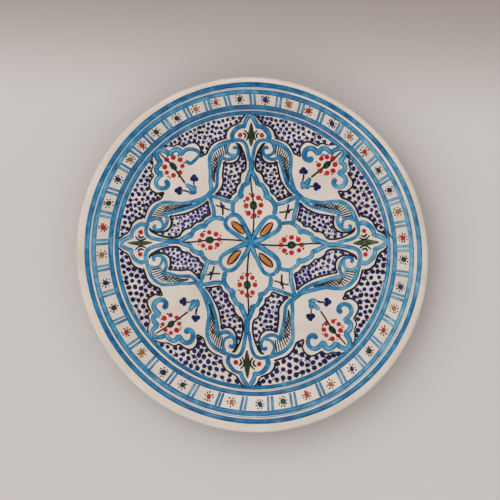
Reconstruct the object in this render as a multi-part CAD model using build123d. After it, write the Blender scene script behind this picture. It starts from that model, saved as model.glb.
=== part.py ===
"""A hand painted earthenware plate: thrown clay body, tin glaze coats and brushed pigment films.

The plate stands on its foot ring, so Z = 0 is the ring's resting face and the origin is the centre
of the ring. +Y is the top of the painted design. All sizes are in millimetres.
"""
from build123d import *
from math import asin, atan2, ceil, cos, degrees, hypot, pi, radians, sin
from random import Random
import os

os.makedirs("parts", exist_ok=True)

# ---------------------------------------------------------------- driving dimensions of the body
PLATE_RADIUS = 150.0
WALL = 5.5                      # thickness of floor, wall and rim, which ends in a half round lip
FLOOR_TOP = 11.0                # height of the flat floor's upper face
FLOOR_RADIUS = 110.0            # where the floor begins to turn up
CAVETTO_BEND = 30.0             # radius of the hollow bend between floor and wall
RIM_BEND = 24.0                 # radius of the round bend between wall and rim
WALL_ANGLE = 32.0               # slope of the wall, degrees
FOOT_RADIUS = 91.5              # middle of the foot ring
FOOT_WIDTH_TOP = 9.0
FOOT_WIDTH_BASE = 6.0
GLAZE = 0.4                     # thickness of the tin glaze
BARE_FOOT = 1.2                 # height of foot that is left without glaze
PIGMENT = 0.25                  # height of a pigment film over the glaze

# ---------------------------------------------------------------- sizes of the painted bands
OUTER_BAND = (1.4, 1.7, 141.7, 4.1)         # centre x, centre y, mean radius, width
SECOND_BAND = (0.8, 2.0, 135.8, 3.8)
THIRD_BAND = (0.2, 3.3, 122.2, 3.7)
INNER_BAND = (0.1, 3.6, 117.0, 3.4)
FRIEZE_CENTRE = (0.5, 2.6)
FRIEZE_INNER = 123.2            # ends of the bars
FRIEZE_OUTER = 134.6
FRIEZE_MIDDLE = 129.2           # radius of the row of florets
BAR_WIDTH = 1.7
BAR_HALF_GAP = 1.65             # from the middle of a pair to each bar
FLORET_RADIUS = 2.2
SPECK_RADIUS = 0.6
SPECKS = 8
SPECK_RING = 3.4
SPECK_RING_SPREAD = (0.92, 1.05)
SPECK_DRIFT = 0.4               # share of a step by which a speck may drift round its floret
# bearings of the florets, clockwise from the top, as unevenly as a hand spaces them
FLORET_BEARINGS = (
    6.2, 15, 22.7, 32.5, 40.3, 48.2, 56.7, 65, 73.3, 83, 91, 101, 109.5, 118.6, 128, 137.5, 147.5,
    157.5, 167, 176, 187, 196, 207, 216, 227, 237, 247.5, 257.5, 268.5, 279, 288.5, 298.5, 307.5,
    314.5, 322, 331.5, 339.5, 347.5, 356.5,
)

# ---------------------------------------------------------------- brush widths
BROAD_BRUSH = 3.6
TRUNK_BRUSH = 4.5
MIDDLE_BRUSH = 3.0
LINER = 1.3                     # fine brush of the dark outlines
HATCH_LINER = 0.85
GROUND_DOT = 1.5                # radius of the dots that fill the grounds
GROUND_PITCH = 4.2
GROUND_ROW_STEP = 3.8           # from one row of a ground to the next
GROUND_STRAY = 0.4              # how far a dot may lie out of its row
GROUND_DOT_SPREAD = (0.85, 1.1)
PETAL_DOT = 2.0
SMALLEST_FILM = 2.5             # area, in square mm, under which a leftover of film is left out

# The design grows from a heart point a little above the plate's centre. Four axes and four
# diagonals cross it as guide lines. Each guide holds the landmarks that the painter set out along
# it, as (distance from the heart, bearing clockwise from the top), and no two are quite alike.
HEART = (1.0, 11.5)
# along an axis: middle of petal floret, petal tip, middle of finial, finial tip
AXES = (
    ((31.5, 3.6), (60.5, -0.4), (91.0, 0.0), (107.5, -0.5)),
    ((34.5, 92.5), (64.0, 90.4), (97.0, 88.8), (115.0, 88.3)),
    ((36.5, 185.3), (65.5, 182.6), (105.5, 181.9), (124.5, 180.9)),
    ((36.0, 272.4), (62.0, 269.5), (98.0, 268.5), (116.0, 268.5)),
)
# along a diagonal: almond, lattice square, scroll crossing, V, corner floret, corner tip
DIAGONALS = (
    ((17.4, 48.5), (40.3, 49.0), (56.6, 45.0), (64.3, 44.9), (91.9, 44.1), (110.7, 44.8)),
    ((20.2, 138.4), (42.4, 142.2), (58.6, 140.2), (70.1, 135.6), (100.5, 136.2), (120.6, 136.2)),
    ((20.2, 228.0), (43.2, 231.1), (58.6, 230.2), (69.0, 224.1), (100.8, 224.3), (119.9, 226.5)),
    ((17.1, 317.1), (38.0, 320.0), (53.4, 317.7), (64.0, 312.8), (92.9, 313.5), (111.4, 313.4)),
)

# ---------------------------------------------------------------- strokes of one eighth
# The eighth between the top axis and the next diagonal, in plate coordinates. A stroke is a list
# of points that the brush passes through, and each cusp starts a new stroke.
FINIAL = (
    ((1, 117.8), (3, 115.8), (4.6, 113), (5.6, 110.6), (4.8, 108.4)),
    ((4.8, 108.4), (8.2, 109.2), (11.8, 107.8), (14.6, 105), (16.2, 102.2), (16.2, 100.2), (15, 97.8)),
)
SPINDLE = ((1, 93), (1, 102.5), (1, 112))
SPINDLE_ARCS = (
    ((6, 106), (3.3, 102), (5.2, 97.6)),
    ((7.8, 103.8), (5.4, 101.5), (6.5, 98.9)),
)
FINIAL_DOT = (9.8, 101.8)
TRUNK = ((1.2, 71.5), (1.3, 76), (1.4, 81.5))
SCROLL = (
    ((1.4, 81), (2.4, 85), (4.2, 92.6), (6.6, 96.2), (10.2, 97.8), (14.2, 97.4), (17.4, 96.2)),
    ((17.4, 96.2), (23, 95), (27, 93.4), (30.6, 90.6), (33.4, 87), (34.6, 83), (34.6, 77), (34.2, 71),
     (35.4, 64), (38.2, 56), (43, 50.8)),
    ((19, 94.6), (20.6, 91.8), (20.6, 89), (19, 86.6), (16.2, 85.4), (13, 85.4)),
    ((25.4, 84.6), (22.6, 82.6), (19, 81.8), (15, 83), (12.2, 85.4), (11, 88.4), (12.2, 91.2), (14.6, 91)),
    ((25.4, 85), (25.8, 81), (28.2, 73), (31, 63.6), (33.4, 59.2), (39, 53.2)),
)
PANEL = (
    ((13.4, 95), (11, 94.6), (9, 91.8), (7.4, 89), (5.8, 85), (4.8, 81), (4.6, 77), (5, 74.2), (6.2, 72.2),
     (8.6, 71), (10.6, 68.6), (11.8, 65.8), (11.8, 63.6)),
    ((11.8, 63.6), (14.6, 61.2), (17, 58.4), (17.8, 55.2), (17.8, 53.6)),
    ((17.8, 53.6), (20.6, 52.4), (22.6, 50.4), (23.8, 47.4)),
    ((23.8, 47.4), (27.8, 48.8), (32.2, 50.8), (36.2, 52)),
    ((36.2, 52), (33.4, 54), (30.6, 57.2), (28.2, 60.8), (26.2, 64.4), (24.8, 69), (23.2, 77)),
    ((22.6, 79.4), (20.6, 78.6), (17.8, 78.4), (14.6, 78.8), (11.8, 80.6), (10, 83.4), (9.4, 87)),
)
SPANDREL = (
    ((3.6, 119.4), (6.6, 116.6), (8.6, 113.4), (9.8, 111.8)),
    ((9.8, 111.8), (13.4, 110.4), (17, 109), (19.8, 106.2), (21.2, 103.4), (21.4, 101)),
    ((21.4, 101), (24.6, 98.4), (29.4, 96.8), (33, 94.2), (35.4, 91), (37.4, 87), (40.2, 85.4), (42.8, 84.2)),
    ((42.8, 84.2), (42.6, 86.6), (41.8, 89.8), (43, 93), (45.4, 95.6), (48.6, 96.6), (52.2, 95.8),
     (57.3, 93)),
    ((57.3, 93), (58.5, 94.4), (61, 95.3), (64, 94.5), (66, 93.5)),
    ((66, 93.5), (70, 94.5), (75, 94.3), (77, 93)),
)
SPANDREL_BAND_RADIUS = 114.6    # where the dotted ground ends below the inner band
SPANDREL_BAND_STEP = 4          # degrees between the points of that edge
PETAL = (
    ((0.6, 73), (4.6, 66), (6.2, 62.8), (7, 60)),
    ((7, 60), (9.8, 60.4), (11.8, 57.6), (13.4, 54.8), (14.2, 52), (13.4, 48.8)),
    ((13.4, 48.8), (16.2, 49.6), (19, 46.8), (21, 44), (21.6, 40.8), (21.2, 37.6), (20.4, 34.8)),
)
PETAL_VEIN = ((2.2, 17), (3, 25), (3.3, 35), (3, 43), (2, 52), (1, 60), (0.3, 69.5))
PETAL_FLORET_REACH = (6.5, 8.7)             # half width and half length of the ring of dots
PETAL_SPECK_REACH = (9.3, 11.6)             # the same of the fine specks round it
FLORET_DOTS = 8
PETAL_EYE = (2.6, 3.6)
LEAF = ((4.2, 18.8), (7, 22.8), (9.8, 27.2), (13, 31.2), (16.2, 33.2), (19.8, 33.6), (22.6, 32))
ALMOND = ((8.4, 17.6), (11.2, 19.4), (14.2, 22.6), (17, 26), (19.4, 28.6))
ALMOND_HALF_WIDTH = 2.8
LATTICE = ((21, 44), (24.6, 44.4), (29.4, 45.6), (34.2, 48), (38.2, 50), (41, 52))
LATTICE_CROSS = ((33.6, 45), (32.6, 40.8), (31, 36.4), (29.6, 30.4))
LATTICE_STUD = (33.4, 37.2)
STAR_RADIUS = 4.6
CORNER = (
    ((79, 89.8), (75, 91), (71, 89.4), (67.8, 86.2)),
    ((67.8, 86.2), (66.2, 89.4), (63, 91.2), (59.4, 90.2), (58, 85)),
    ((58, 85), (56.2, 87.8), (53.8, 90.6), (50.6, 91.2), (47.4, 89.8), (46, 87), (46.4, 83.4),
     (48.6, 80.8), (51.4, 81.4), (51.4, 84.6)),
)
CORNER_STEM = ((77.4, 88.2), (68.6, 80.6), (64.6, 77.5), (56.6, 71), (51.8, 67))
CORNER_DOTS = ((64.5, 84.8), (60.9, 82.5), (58.5, 78.6), (60.2, 73))
CORNER_CENTRE = (65, 77.5)
CORNER_EYE = (3.6, 2.4)
CORNER_SPECK_REACH = (9.6, 9.6)
V_ARM = ((44.3, 63.5), (44.6, 60), (46.4, 57))
V_MIDDLE = ((46.4, 59.0), (48.6, 62.4), (51.2, 66.8))
HEART_STEM = ((44.6, 63.8), (45.6, 66.6), (45.5, 69.4))
HEART_LEAF = (45, 72)
HEART_LEAF_RADIUS = 2.3
HATCHING = (
    ((22.6, 93.4), (20.6, 89.8)),
    ((26.4, 91.6), (21.6, 87.6)),
    ((29.6, 88.6), (22.2, 85.4)),
    ((32, 85), (26.6, 82.6)),
    ((32.8, 80.6), (27, 79.6)),
    ((32.8, 76.6), (27.8, 75.8)),
    ((32.6, 72.4), (29, 71.8)),
    ((32.8, 68.2), (30.4, 67.6)),
)

random = Random(39)


# ---------------------------------------------------------------- body section
def lip_centre():
    """Radius and height of the middle of the half round lip."""
    half = WALL / 2
    slope = radians(WALL_ANGLE)
    reach = PLATE_RADIUS - half - FLOOR_RADIUS
    straight = (reach - (CAVETTO_BEND + RIM_BEND) * sin(slope)) / cos(slope)
    rise = (CAVETTO_BEND + RIM_BEND) * (1 - cos(slope)) + straight * sin(slope)
    return PLATE_RADIUS - half, FLOOR_TOP + rise - half


LIP_RADIUS, LIP_HEIGHT = lip_centre()


def face_at(reach):
    """Height and slope, in radians, of the glazed face at a distance from the axis."""
    slope = radians(WALL_ANGLE)
    hollow_end = FLOOR_RADIUS + CAVETTO_BEND * sin(slope)
    rim_start = LIP_RADIUS - RIM_BEND * sin(slope)
    if reach <= FLOOR_RADIUS:
        return FLOOR_TOP, 0
    if reach <= hollow_end:
        slope = asin((reach - FLOOR_RADIUS) / CAVETTO_BEND)
        return FLOOR_TOP + CAVETTO_BEND * (1 - cos(slope)), slope
    if reach <= rim_start:
        rise = CAVETTO_BEND * (1 - cos(slope)) + (reach - hollow_end) * sin(slope) / cos(slope)
        return FLOOR_TOP + rise, slope
    slope = asin((LIP_RADIUS - reach) / RIM_BEND)
    return LIP_HEIGHT + WALL / 2 - RIM_BEND * (1 - cos(slope)), slope


def arc(centre, radius, start, end):
    """Arc about a centre between two angles, in degrees from the radial direction."""
    points = []
    for angle in (start, (start + end) / 2, end):
        turn = radians(angle)
        points.append((centre[0] + radius * cos(turn), 0, centre[1] + radius * sin(turn)))
    return ThreePointArc(*points)


def face_line(inset):
    """Upper surface from the axis to the outermost point of the lip, set into the clay by inset."""
    floor = Line((0, 0, FLOOR_TOP - inset), (FLOOR_RADIUS, 0, FLOOR_TOP - inset))
    hollow = arc((FLOOR_RADIUS, FLOOR_TOP + CAVETTO_BEND), CAVETTO_BEND + inset, -90, WALL_ANGLE - 90)
    rim_centre = (LIP_RADIUS, LIP_HEIGHT + WALL / 2 - RIM_BEND)
    rim = arc(rim_centre, RIM_BEND - inset, 90 + WALL_ANGLE, 90)
    wall = Line(hollow @ 1, rim @ 0)
    lip = arc((LIP_RADIUS, LIP_HEIGHT), WALL / 2 - inset, 90, 0)
    return [floor, hollow, wall, rim, lip]


def back_line(inset):
    """Lower surface from the outermost point of the lip to the flat underside above the foot."""
    depth = WALL - inset
    lip = arc((LIP_RADIUS, LIP_HEIGHT), WALL / 2 - inset, 0, -90)
    rim_centre = (LIP_RADIUS, LIP_HEIGHT + WALL / 2 - RIM_BEND)
    rim = arc(rim_centre, RIM_BEND - depth, 90, 90 + WALL_ANGLE)
    hollow = arc((FLOOR_RADIUS, FLOOR_TOP + CAVETTO_BEND), CAVETTO_BEND + depth, WALL_ANGLE - 90, -90)
    wall = Line(rim @ 1, hollow @ 0)
    return [lip, rim, wall, hollow]


def foot_side(outward, inset, height):
    """Radius of the foot ring's side at a height, outward being +1 for the outer side."""
    share = height / (FLOOR_TOP - WALL)
    half_width = (FOOT_WIDTH_BASE + (FOOT_WIDTH_TOP - FOOT_WIDTH_BASE) * share) / 2
    return FOOT_RADIUS + outward * (half_width - inset)


def turned(edges):
    """Solid of revolution of the closed section."""
    return revolve(make_face(edges), Axis.Z)


def clay_body():
    """Thrown wall and floor with the foot ring, without the glaze."""
    under = FLOOR_TOP - WALL + GLAZE
    outer = foot_side(1, GLAZE, under)
    inner = foot_side(-1, GLAZE, under)
    edges = face_line(GLAZE) + back_line(GLAZE)
    corners = [
        edges[-1] @ 1,
        (outer, 0, under),
        (foot_side(1, GLAZE, BARE_FOOT), 0, BARE_FOOT),
        (foot_side(1, 0, BARE_FOOT), 0, BARE_FOOT),
        (foot_side(1, 0, 0), 0, 0),
        (foot_side(-1, 0, 0), 0, 0),
        (foot_side(-1, 0, BARE_FOOT), 0, BARE_FOOT),
        (foot_side(-1, GLAZE, BARE_FOOT), 0, BARE_FOOT),
        (inner, 0, under),
        (0, 0, under),
        (0, 0, FLOOR_TOP - GLAZE),
    ]
    return turned(edges + [Polyline(*corners)])


def face_glaze():
    """Glaze on the floor, the wall, the rim and the upper half of the lip."""
    outside = face_line(0)
    inside = face_line(GLAZE)
    edge = Line(outside[-1] @ 1, inside[-1] @ 1)
    axis = Line(outside[0] @ 0, inside[0] @ 0)
    return turned(outside + inside + [edge, axis])


def back_glaze():
    """Glaze on the lower half of the lip, the back and the outer side of the foot."""
    outside = back_line(0)
    inside = back_line(GLAZE)
    under = FLOOR_TOP - WALL
    edge = Line(outside[0] @ 0, inside[0] @ 0)
    corners = [
        outside[-1] @ 1,
        (foot_side(1, 0, under), 0, under),
        (foot_side(1, 0, BARE_FOOT), 0, BARE_FOOT),
        (foot_side(1, GLAZE, BARE_FOOT), 0, BARE_FOOT),
        (foot_side(1, GLAZE, under + GLAZE), 0, under + GLAZE),
        inside[-1] @ 1,
    ]
    return turned(outside + inside + [edge, Polyline(*corners)])


def foot_well_glaze():
    """Glaze inside the foot ring, on the underside and the ring's inner side."""
    under = FLOOR_TOP - WALL
    corners = [
        (0, 0, under),
        (foot_side(-1, 0, under), 0, under),
        (foot_side(-1, 0, BARE_FOOT), 0, BARE_FOOT),
        (foot_side(-1, GLAZE, BARE_FOOT), 0, BARE_FOOT),
        (foot_side(-1, GLAZE, under + GLAZE), 0, under + GLAZE),
        (0, 0, under + GLAZE),
        (0, 0, under),
    ]
    return turned([Polyline(*corners)])


def pigment_sheet():
    """Film over the whole face, which each painted shape is cut from."""
    upper = face_line(-PIGMENT)
    lower = face_line(0)
    edge = Line(upper[-1] @ 1, lower[-1] @ 1)
    axis = Line(upper[0] @ 0, lower[0] @ 0)
    return turned(upper + lower + [edge, axis])


# ---------------------------------------------------------------- laying out the design
def along(value, marks, targets):
    """Value carried from one list of landmarks to another, straight between neighbours."""
    last = len(marks) - 1
    i = next((k for k in range(1, last) if value < marks[k]), last)
    share = (value - marks[i - 1]) / (marks[i] - marks[i - 1])
    return targets[i - 1] + share * (targets[i] - targets[i - 1])


def guide_place(distance, drawn, target):
    """Distance and bearing on a target guide of what lies at a distance on the drawn guide."""
    marks = [0] + [mark[0] for mark in drawn]
    reach = along(distance, marks, [0] + [mark[0] for mark in target])
    bearing = along(distance, marks, [target[0][1]] + [mark[1] for mark in target])
    return reach, bearing


def laid(point, quarter, mirrored=False):
    """Place of a point of the drawn eighth in another quarter, on either side of its axis."""
    dx, dy = point[0] - HEART[0], point[1] - HEART[1]
    distance = hypot(dx, dy)
    bearing = degrees(atan2(dx, dy))
    axis_reach, axis_bearing = guide_place(distance, AXES[0], AXES[quarter])
    _, drawn_axis = guide_place(distance, AXES[0], AXES[0])
    _, drawn_diagonal = guide_place(distance, DIAGONALS[0], DIAGONALS[0])
    diagonal = DIAGONALS[(quarter - mirrored) % 4]
    reach, diagonal_bearing = guide_place(distance, DIAGONALS[0], diagonal)
    gap = (diagonal_bearing - axis_bearing + 180) % 360 - 180
    share = (bearing - drawn_axis) / (drawn_diagonal - drawn_axis)
    turn = radians(axis_bearing + share * gap)
    reach = axis_reach + share * (reach - axis_reach)
    return HEART[0] + reach * sin(turn), HEART[1] + reach * cos(turn)


def eighths(strokes):
    """The strokes of the drawn eighth laid into all eight."""
    copies = []
    for quarter in range(4):
        for mirrored in (False, True):
            copies += [[laid(point, quarter, mirrored) for point in stroke] for stroke in strokes]
    return copies


def quarters(strokes):
    """The strokes of the drawn eighth laid into the four quarters, on one side only."""
    return [[laid(point, quarter) for point in stroke] for quarter in range(4) for stroke in strokes]


# ---------------------------------------------------------------- painted shapes
def brush_line(points, width):
    """Face of one round ended stroke through the points."""
    spine = Spline(*points) if len(points) > 2 else Line(*points)
    steps = max(2, len(points))
    sides = {1: [], -1: []}
    for step in range(steps + 1):
        place = spine @ (step / steps)
        heading = spine % (step / steps)
        across = Vector(-heading.Y, heading.X) * (width / 2)
        for side, row in sides.items():
            row.append(place + across * side)
    nose = (spine @ 1) + (spine % 1) * (width / 2)
    tail = (spine @ 0) - (spine % 0) * (width / 2)
    ends = [
        ThreePointArc(sides[1][-1], nose, sides[-1][-1]),
        ThreePointArc(sides[1][0], tail, sides[-1][0]),
    ]
    return make_face([Spline(*sides[1]), Spline(*sides[-1])] + ends)


def brush_lines(strokes, width):
    """Faces of several strokes of one width."""
    return [brush_line(stroke, width) for stroke in strokes]


def blob(centre, radius, long_radius=None, bearing=0.0):
    """Round or oval touch of the brush, its long way along a bearing from the top."""
    shape = Ellipse(long_radius, radius) if long_radius else Circle(radius)
    return Pos(*centre) * Rot(Z=90 - bearing) * shape


def dab(point, radius):
    """Flat round touch of pigment that lies on the face, square to its slope."""
    height, slope = face_at(hypot(*point))
    lie = Rot(Z=degrees(atan2(point[1], point[0]))) * Rot(Y=-degrees(slope))
    return Pos(*point, height) * lie * Pos(Z=PIGMENT / 2) * Cylinder(radius, PIGMENT)


def heading_of(start, end):
    """Bearing, clockwise from the top, from one point to another."""
    return degrees(atan2(end[0] - start[0], end[1] - start[1]))


def band(centre_x, centre_y, radius, width):
    """One banded line, turned on the wheel."""
    ring = Circle(radius + width / 2) - Circle(radius - width / 2)
    return Pos(centre_x, centre_y) * ring


def frieze_point(bearing, radius):
    """Place in the frieze at a bearing clockwise from the top."""
    turn = radians(bearing)
    return FRIEZE_CENTRE[0] + radius * sin(turn), FRIEZE_CENTRE[1] + radius * cos(turn)


def frieze_bars():
    """A pair of bars midway between every two florets."""
    faces = []
    half_gap = degrees(BAR_HALF_GAP / FRIEZE_MIDDLE)
    following = FLORET_BEARINGS[1:] + (FLORET_BEARINGS[0] + 360,)
    for bearing, next_bearing in zip(FLORET_BEARINGS, following):
        middle = (bearing + next_bearing) / 2
        for side in (-1, 1):
            ends = [frieze_point(middle + side * half_gap, r) for r in (FRIEZE_INNER, FRIEZE_OUTER)]
            faces.append(brush_line(ends, BAR_WIDTH))
    return faces


def frieze_colour(cell):
    """Pigment of a floret: four in turn, with one green left out after the third cell."""
    turn = cell if cell < 3 else cell + 1
    return ("navy", "ochre", "red", "green")[turn % 4]


def frieze_florets(colour):
    """Touches of one pigment in the middles of the frieze."""
    bearings = [b for cell, b in enumerate(FLORET_BEARINGS) if frieze_colour(cell) == colour]
    return [dab(frieze_point(bearing, FRIEZE_MIDDLE), FLORET_RADIUS) for bearing in bearings]


def frieze_specks():
    """Ring of fine dark specks round every floret."""
    specks = []
    for bearing in FLORET_BEARINGS:
        x, y = frieze_point(bearing, FRIEZE_MIDDLE)
        for speck in range(SPECKS):
            turn = 2 * pi * (speck + SPECK_DRIFT * random.random()) / SPECKS
            reach = SPECK_RING * random.uniform(*SPECK_RING_SPREAD)
            specks.append(dab((x + reach * sin(turn), y + reach * cos(turn)), SPECK_RADIUS))
    return specks


def inside(point, outline):
    """Whether a point lies inside a closed outline."""
    x, y = point
    crossings = 0
    for (x1, y1), (x2, y2) in zip(outline, outline[1:] + outline[:1]):
        if (y1 > y) != (y2 > y):
            crossings += x < x1 + (y - y1) / (y2 - y1) * (x2 - x1)
    return crossings % 2 == 1


def clear_of(point, outline, gap):
    """Whether a point keeps a gap from every edge of a closed outline."""
    x, y = point
    for (x1, y1), (x2, y2) in zip(outline, outline[1:] + outline[:1]):
        span = hypot(x2 - x1, y2 - y1)
        share = ((x - x1) * (x2 - x1) + (y - y1) * (y2 - y1)) / max(span * span, 1e-9)
        share = min(1, max(0, share))
        if hypot(x - x1 - share * (x2 - x1), y - y1 - share * (y2 - y1)) < gap:
            return False
    return True


def dotted_ground(outline):
    """Dots in staggered rows that fill a closed outline, each a little out of line."""
    rows = int(2 * PLATE_RADIUS / GROUND_PITCH)
    dots = []
    for row in range(rows):
        for column in range(rows):
            x = -PLATE_RADIUS + (column + 0.5 * (row % 2)) * GROUND_PITCH
            y = -PLATE_RADIUS + row * GROUND_ROW_STEP
            point = tuple(value + random.uniform(-GROUND_STRAY, GROUND_STRAY) for value in (x, y))
            if inside(point, outline) and clear_of(point, outline, GROUND_DOT + LINER):
                dots.append(dab(point, GROUND_DOT * random.uniform(*GROUND_DOT_SPREAD)))
    return dots


def spandrel_outlines():
    """Closed outlines of the eight dotted grounds between the finials and the corners."""
    outlines = []
    for quarter in range(4):
        for mirrored in (False, True):
            outline = [laid(point, quarter, mirrored) for stroke in SPANDREL for point in stroke[:-1]]
            start = heading_of(INNER_BAND[:2], outline[-1])
            sweep = (heading_of(INNER_BAND[:2], outline[0]) - start + 180) % 360 - 180
            steps = ceil(abs(sweep) / SPANDREL_BAND_STEP)
            for step in range(1, steps):
                turn = radians(start + sweep * step / steps)
                reach = SPANDREL_BAND_RADIUS
                outline.append((INNER_BAND[0] + reach * sin(turn), INNER_BAND[1] + reach * cos(turn)))
            outlines.append(outline)
    return outlines


def panel_outlines():
    """Closed outlines of the eight dotted panels between the petals and the scrolls."""
    outlines = []
    for quarter in range(4):
        for mirrored in (False, True):
            drawn = [point for stroke in PANEL for point in stroke[:-1]]
            outlines.append([laid(point, quarter, mirrored) for point in drawn])
    return outlines


def grounds(outlines):
    """Dots of several grounds."""
    return [dot for outline in outlines for dot in dotted_ground(outline)]


def ring_of_dabs(centre, reach_x, reach_y, bearing, count, radius):
    """Dots on an oval about a centre, the oval's long way along a bearing."""
    dots = []
    tilt = radians(bearing)
    for index in range(count):
        turn = 2 * pi * index / count
        across, forth = reach_x * sin(turn), reach_y * cos(turn)
        x = centre[0] + across * cos(tilt) + forth * sin(tilt)
        y = centre[1] - across * sin(tilt) + forth * cos(tilt)
        dots.append(dab((x, y), radius))
    return dots


def petal_centres():
    """Middle of each petal's floret with the bearing of its axis."""
    centres = []
    for axis in AXES:
        reach, bearing = axis[0]
        turn = radians(bearing)
        place = (HEART[0] + reach * sin(turn), HEART[1] + reach * cos(turn))
        centres.append((place, axis[1][1]))
    return centres


def petal_florets():
    """Ring of dots in each petal."""
    dots = []
    for centre, bearing in petal_centres():
        dots += ring_of_dabs(centre, *PETAL_FLORET_REACH, bearing, FLORET_DOTS, PETAL_DOT)
    return dots


def floret_specks(centres, reach_x, reach_y):
    """Fine dark specks outside the rings of dots, one beside each gap."""
    specks = []
    for centre, bearing in centres:
        specks += ring_of_dabs(centre, reach_x, reach_y, bearing + 180 / FLORET_DOTS, FLORET_DOTS,
                               SPECK_RADIUS)
    return specks


def corner_centres():
    """Middle of each corner's floret with the bearing of its diagonal."""
    places = [laid(CORNER_CENTRE, quarter) for quarter in range(4)]
    return [(place, heading_of(HEART, place)) for place in places]


def almond_outline(spine, half_width):
    """Face with a point at both ends of its spine."""
    first, last = Vector(*spine[0]), Vector(*spine[-1])
    middle = Vector(*spine[len(spine) // 2])
    heading = (last - first).normalized()
    across = Vector(-heading.Y, heading.X) * half_width
    return make_face([ThreePointArc(first, middle + across * side, last) for side in (1, -1)])


def almond_outlines():
    """Fine line round each almond, one stroke to a side."""
    faces = []
    for spine in quarters((ALMOND,)):
        first, last = spine[0], spine[-1]
        middle = Vector(*spine[len(spine) // 2])
        turn = radians(heading_of(first, last))
        across = Vector(cos(turn), -sin(turn)) * ALMOND_HALF_WIDTH
        for side in (1, -1):
            belly = middle + across * side
            faces.append(brush_line([first, (belly.X, belly.Y), last], LINER))
    return faces


def oval_on_diagonals(point, radius, long_radius):
    """Oval at the same place of every quarter, its long way along the diagonal."""
    faces = []
    for quarter in range(4):
        centre = laid(point, quarter)
        faces.append(blob(centre, radius, long_radius, heading_of(HEART, centre)))
    return faces


# ---------------------------------------------------------------- building and writing the nodes
def write(name, shape):
    """Write one node."""
    export_step(shape, f"parts/{name}.step")


def dabs_at(points, radius):
    """Dots of one size at the places of one eighth's dots, in all eight."""
    return [dab(stroke[0], radius) for stroke in eighths([(point,) for point in points])]


def dotted_layers():
    """Touches of every node that is made of round dots, which stay clear of each other."""
    return {
        "frieze_florets_navy": frieze_florets("navy"),
        "frieze_florets_ochre": frieze_florets("ochre"),
        "frieze_florets_red": frieze_florets("red"),
        "frieze_florets_green": frieze_florets("green"),
        "frieze_specks": frieze_specks(),
        "finial_dots": dabs_at((FINIAL_DOT,), PETAL_DOT),
        "petal_florets": petal_florets(),
        "petal_specks": floret_specks(petal_centres(), *PETAL_SPECK_REACH),
        "corner_specks": floret_specks(corner_centres(), *CORNER_SPECK_REACH),
        "panel_grounds": grounds(panel_outlines()),
        "spandrel_grounds": grounds(spandrel_outlines()),
    }


def painted_layers():
    """Faces of every brushed node, in the order in which the films give way to each other."""
    almonds = [almond_outline(spine, ALMOND_HALF_WIDTH) for spine in quarters((ALMOND,))]
    studs = [blob(laid(LATTICE_STUD, quarter), PETAL_DOT) for quarter in range(4)]
    petal_eyes = [blob(place, PETAL_EYE[0], PETAL_EYE[1], turn) for place, turn in petal_centres()]
    heart_leaves = [blob(s[0], HEART_LEAF_RADIUS) for s in eighths(((HEART_LEAF,),))]
    corner_florets = [blob(s[0], PETAL_DOT) for s in eighths([(dot,) for dot in CORNER_DOTS])]
    return {
        "outer_band": [band(*OUTER_BAND)],
        "second_band": [band(*SECOND_BAND)],
        "third_band": [band(*THIRD_BAND)],
        "inner_band": [band(*INNER_BAND)],
        "frieze_bars": frieze_bars(),
        "heart_star": [blob(HEART, STAR_RADIUS)],
        "almond_outlines": almond_outlines(),
        "almond_leaves": almonds,
        "axis_finials": brush_lines(eighths(FINIAL), BROAD_BRUSH),
        "finial_spindles": brush_lines(quarters((SPINDLE,)), BROAD_BRUSH),
        "scroll_trunks": brush_lines(quarters((TRUNK,)), TRUNK_BRUSH),
        "scroll_ribbons": brush_lines(eighths(SCROLL), MIDDLE_BRUSH),
        "lattice_squares": brush_lines(eighths((LATTICE,)), BROAD_BRUSH),
        "petal_outlines": brush_lines(eighths(PETAL), BROAD_BRUSH),
        "leaf_outlines": brush_lines(eighths((LEAF,)), BROAD_BRUSH),
        "lattice_studs": studs,
        "corner_medallions": brush_lines(eighths(CORNER), BROAD_BRUSH),
        "corner_florets": corner_florets,
        "corner_eyes": oval_on_diagonals(CORNER_CENTRE, CORNER_EYE[1], CORNER_EYE[0]),
        "corner_v_marks": brush_lines(eighths((V_ARM,)) + quarters((V_MIDDLE,)), MIDDLE_BRUSH),
        "corner_heart_leaves": heart_leaves,
        "petal_eyes": petal_eyes,
        "petal_veins": brush_lines(quarters((PETAL_VEIN,)), LINER),
        "lattice_crosses": brush_lines(eighths((LATTICE_CROSS,)), LINER),
        "corner_stems": brush_lines(quarters((CORNER_STEM,)) + eighths((HEART_STEM,)), LINER),
        "spindle_arcs": brush_lines(eighths(SPINDLE_ARCS), LINER),
        "ribbon_hatching": brush_lines(eighths(HATCHING), HATCH_LINER),
        "panel_outlines": brush_lines(eighths(PANEL), LINER),
        "spandrel_outlines": brush_lines(eighths(SPANDREL), LINER),
    }


def film(layer, sheet):
    """Film under the faces: straight up from the flat floor, and cut from the sheet beyond it."""
    solids = []
    beyond = []
    for face in layer.faces().filter_by(lambda face: face.area > SMALLEST_FILM):
        if max(hypot(corner.X, corner.Y) for corner in face.vertices()) < FLOOR_RADIUS:
            solids.append(extrude(Pos(Z=FLOOR_TOP) * face, PIGMENT).solid())
        else:
            beyond.append(face)
    if beyond:
        solids += (sheet & extrude(Sketch() + beyond, LIP_HEIGHT + WALL)).solids()
    return Compound(solids)


def build():
    """Make every node and write it."""
    write("clay_body", clay_body())
    write("face_glaze", face_glaze())
    write("back_glaze", back_glaze())
    write("foot_well_glaze", foot_well_glaze())
    for name, dots in dotted_layers().items():
        write(name, Compound([dot.solid() for dot in dots]))
    sheet = pigment_sheet()
    under = Sketch()
    for name, faces in painted_layers().items():
        layer = Sketch() + faces
        layer = layer - under
        under = under + layer
        write(name, film(layer, sheet))


build()
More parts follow.
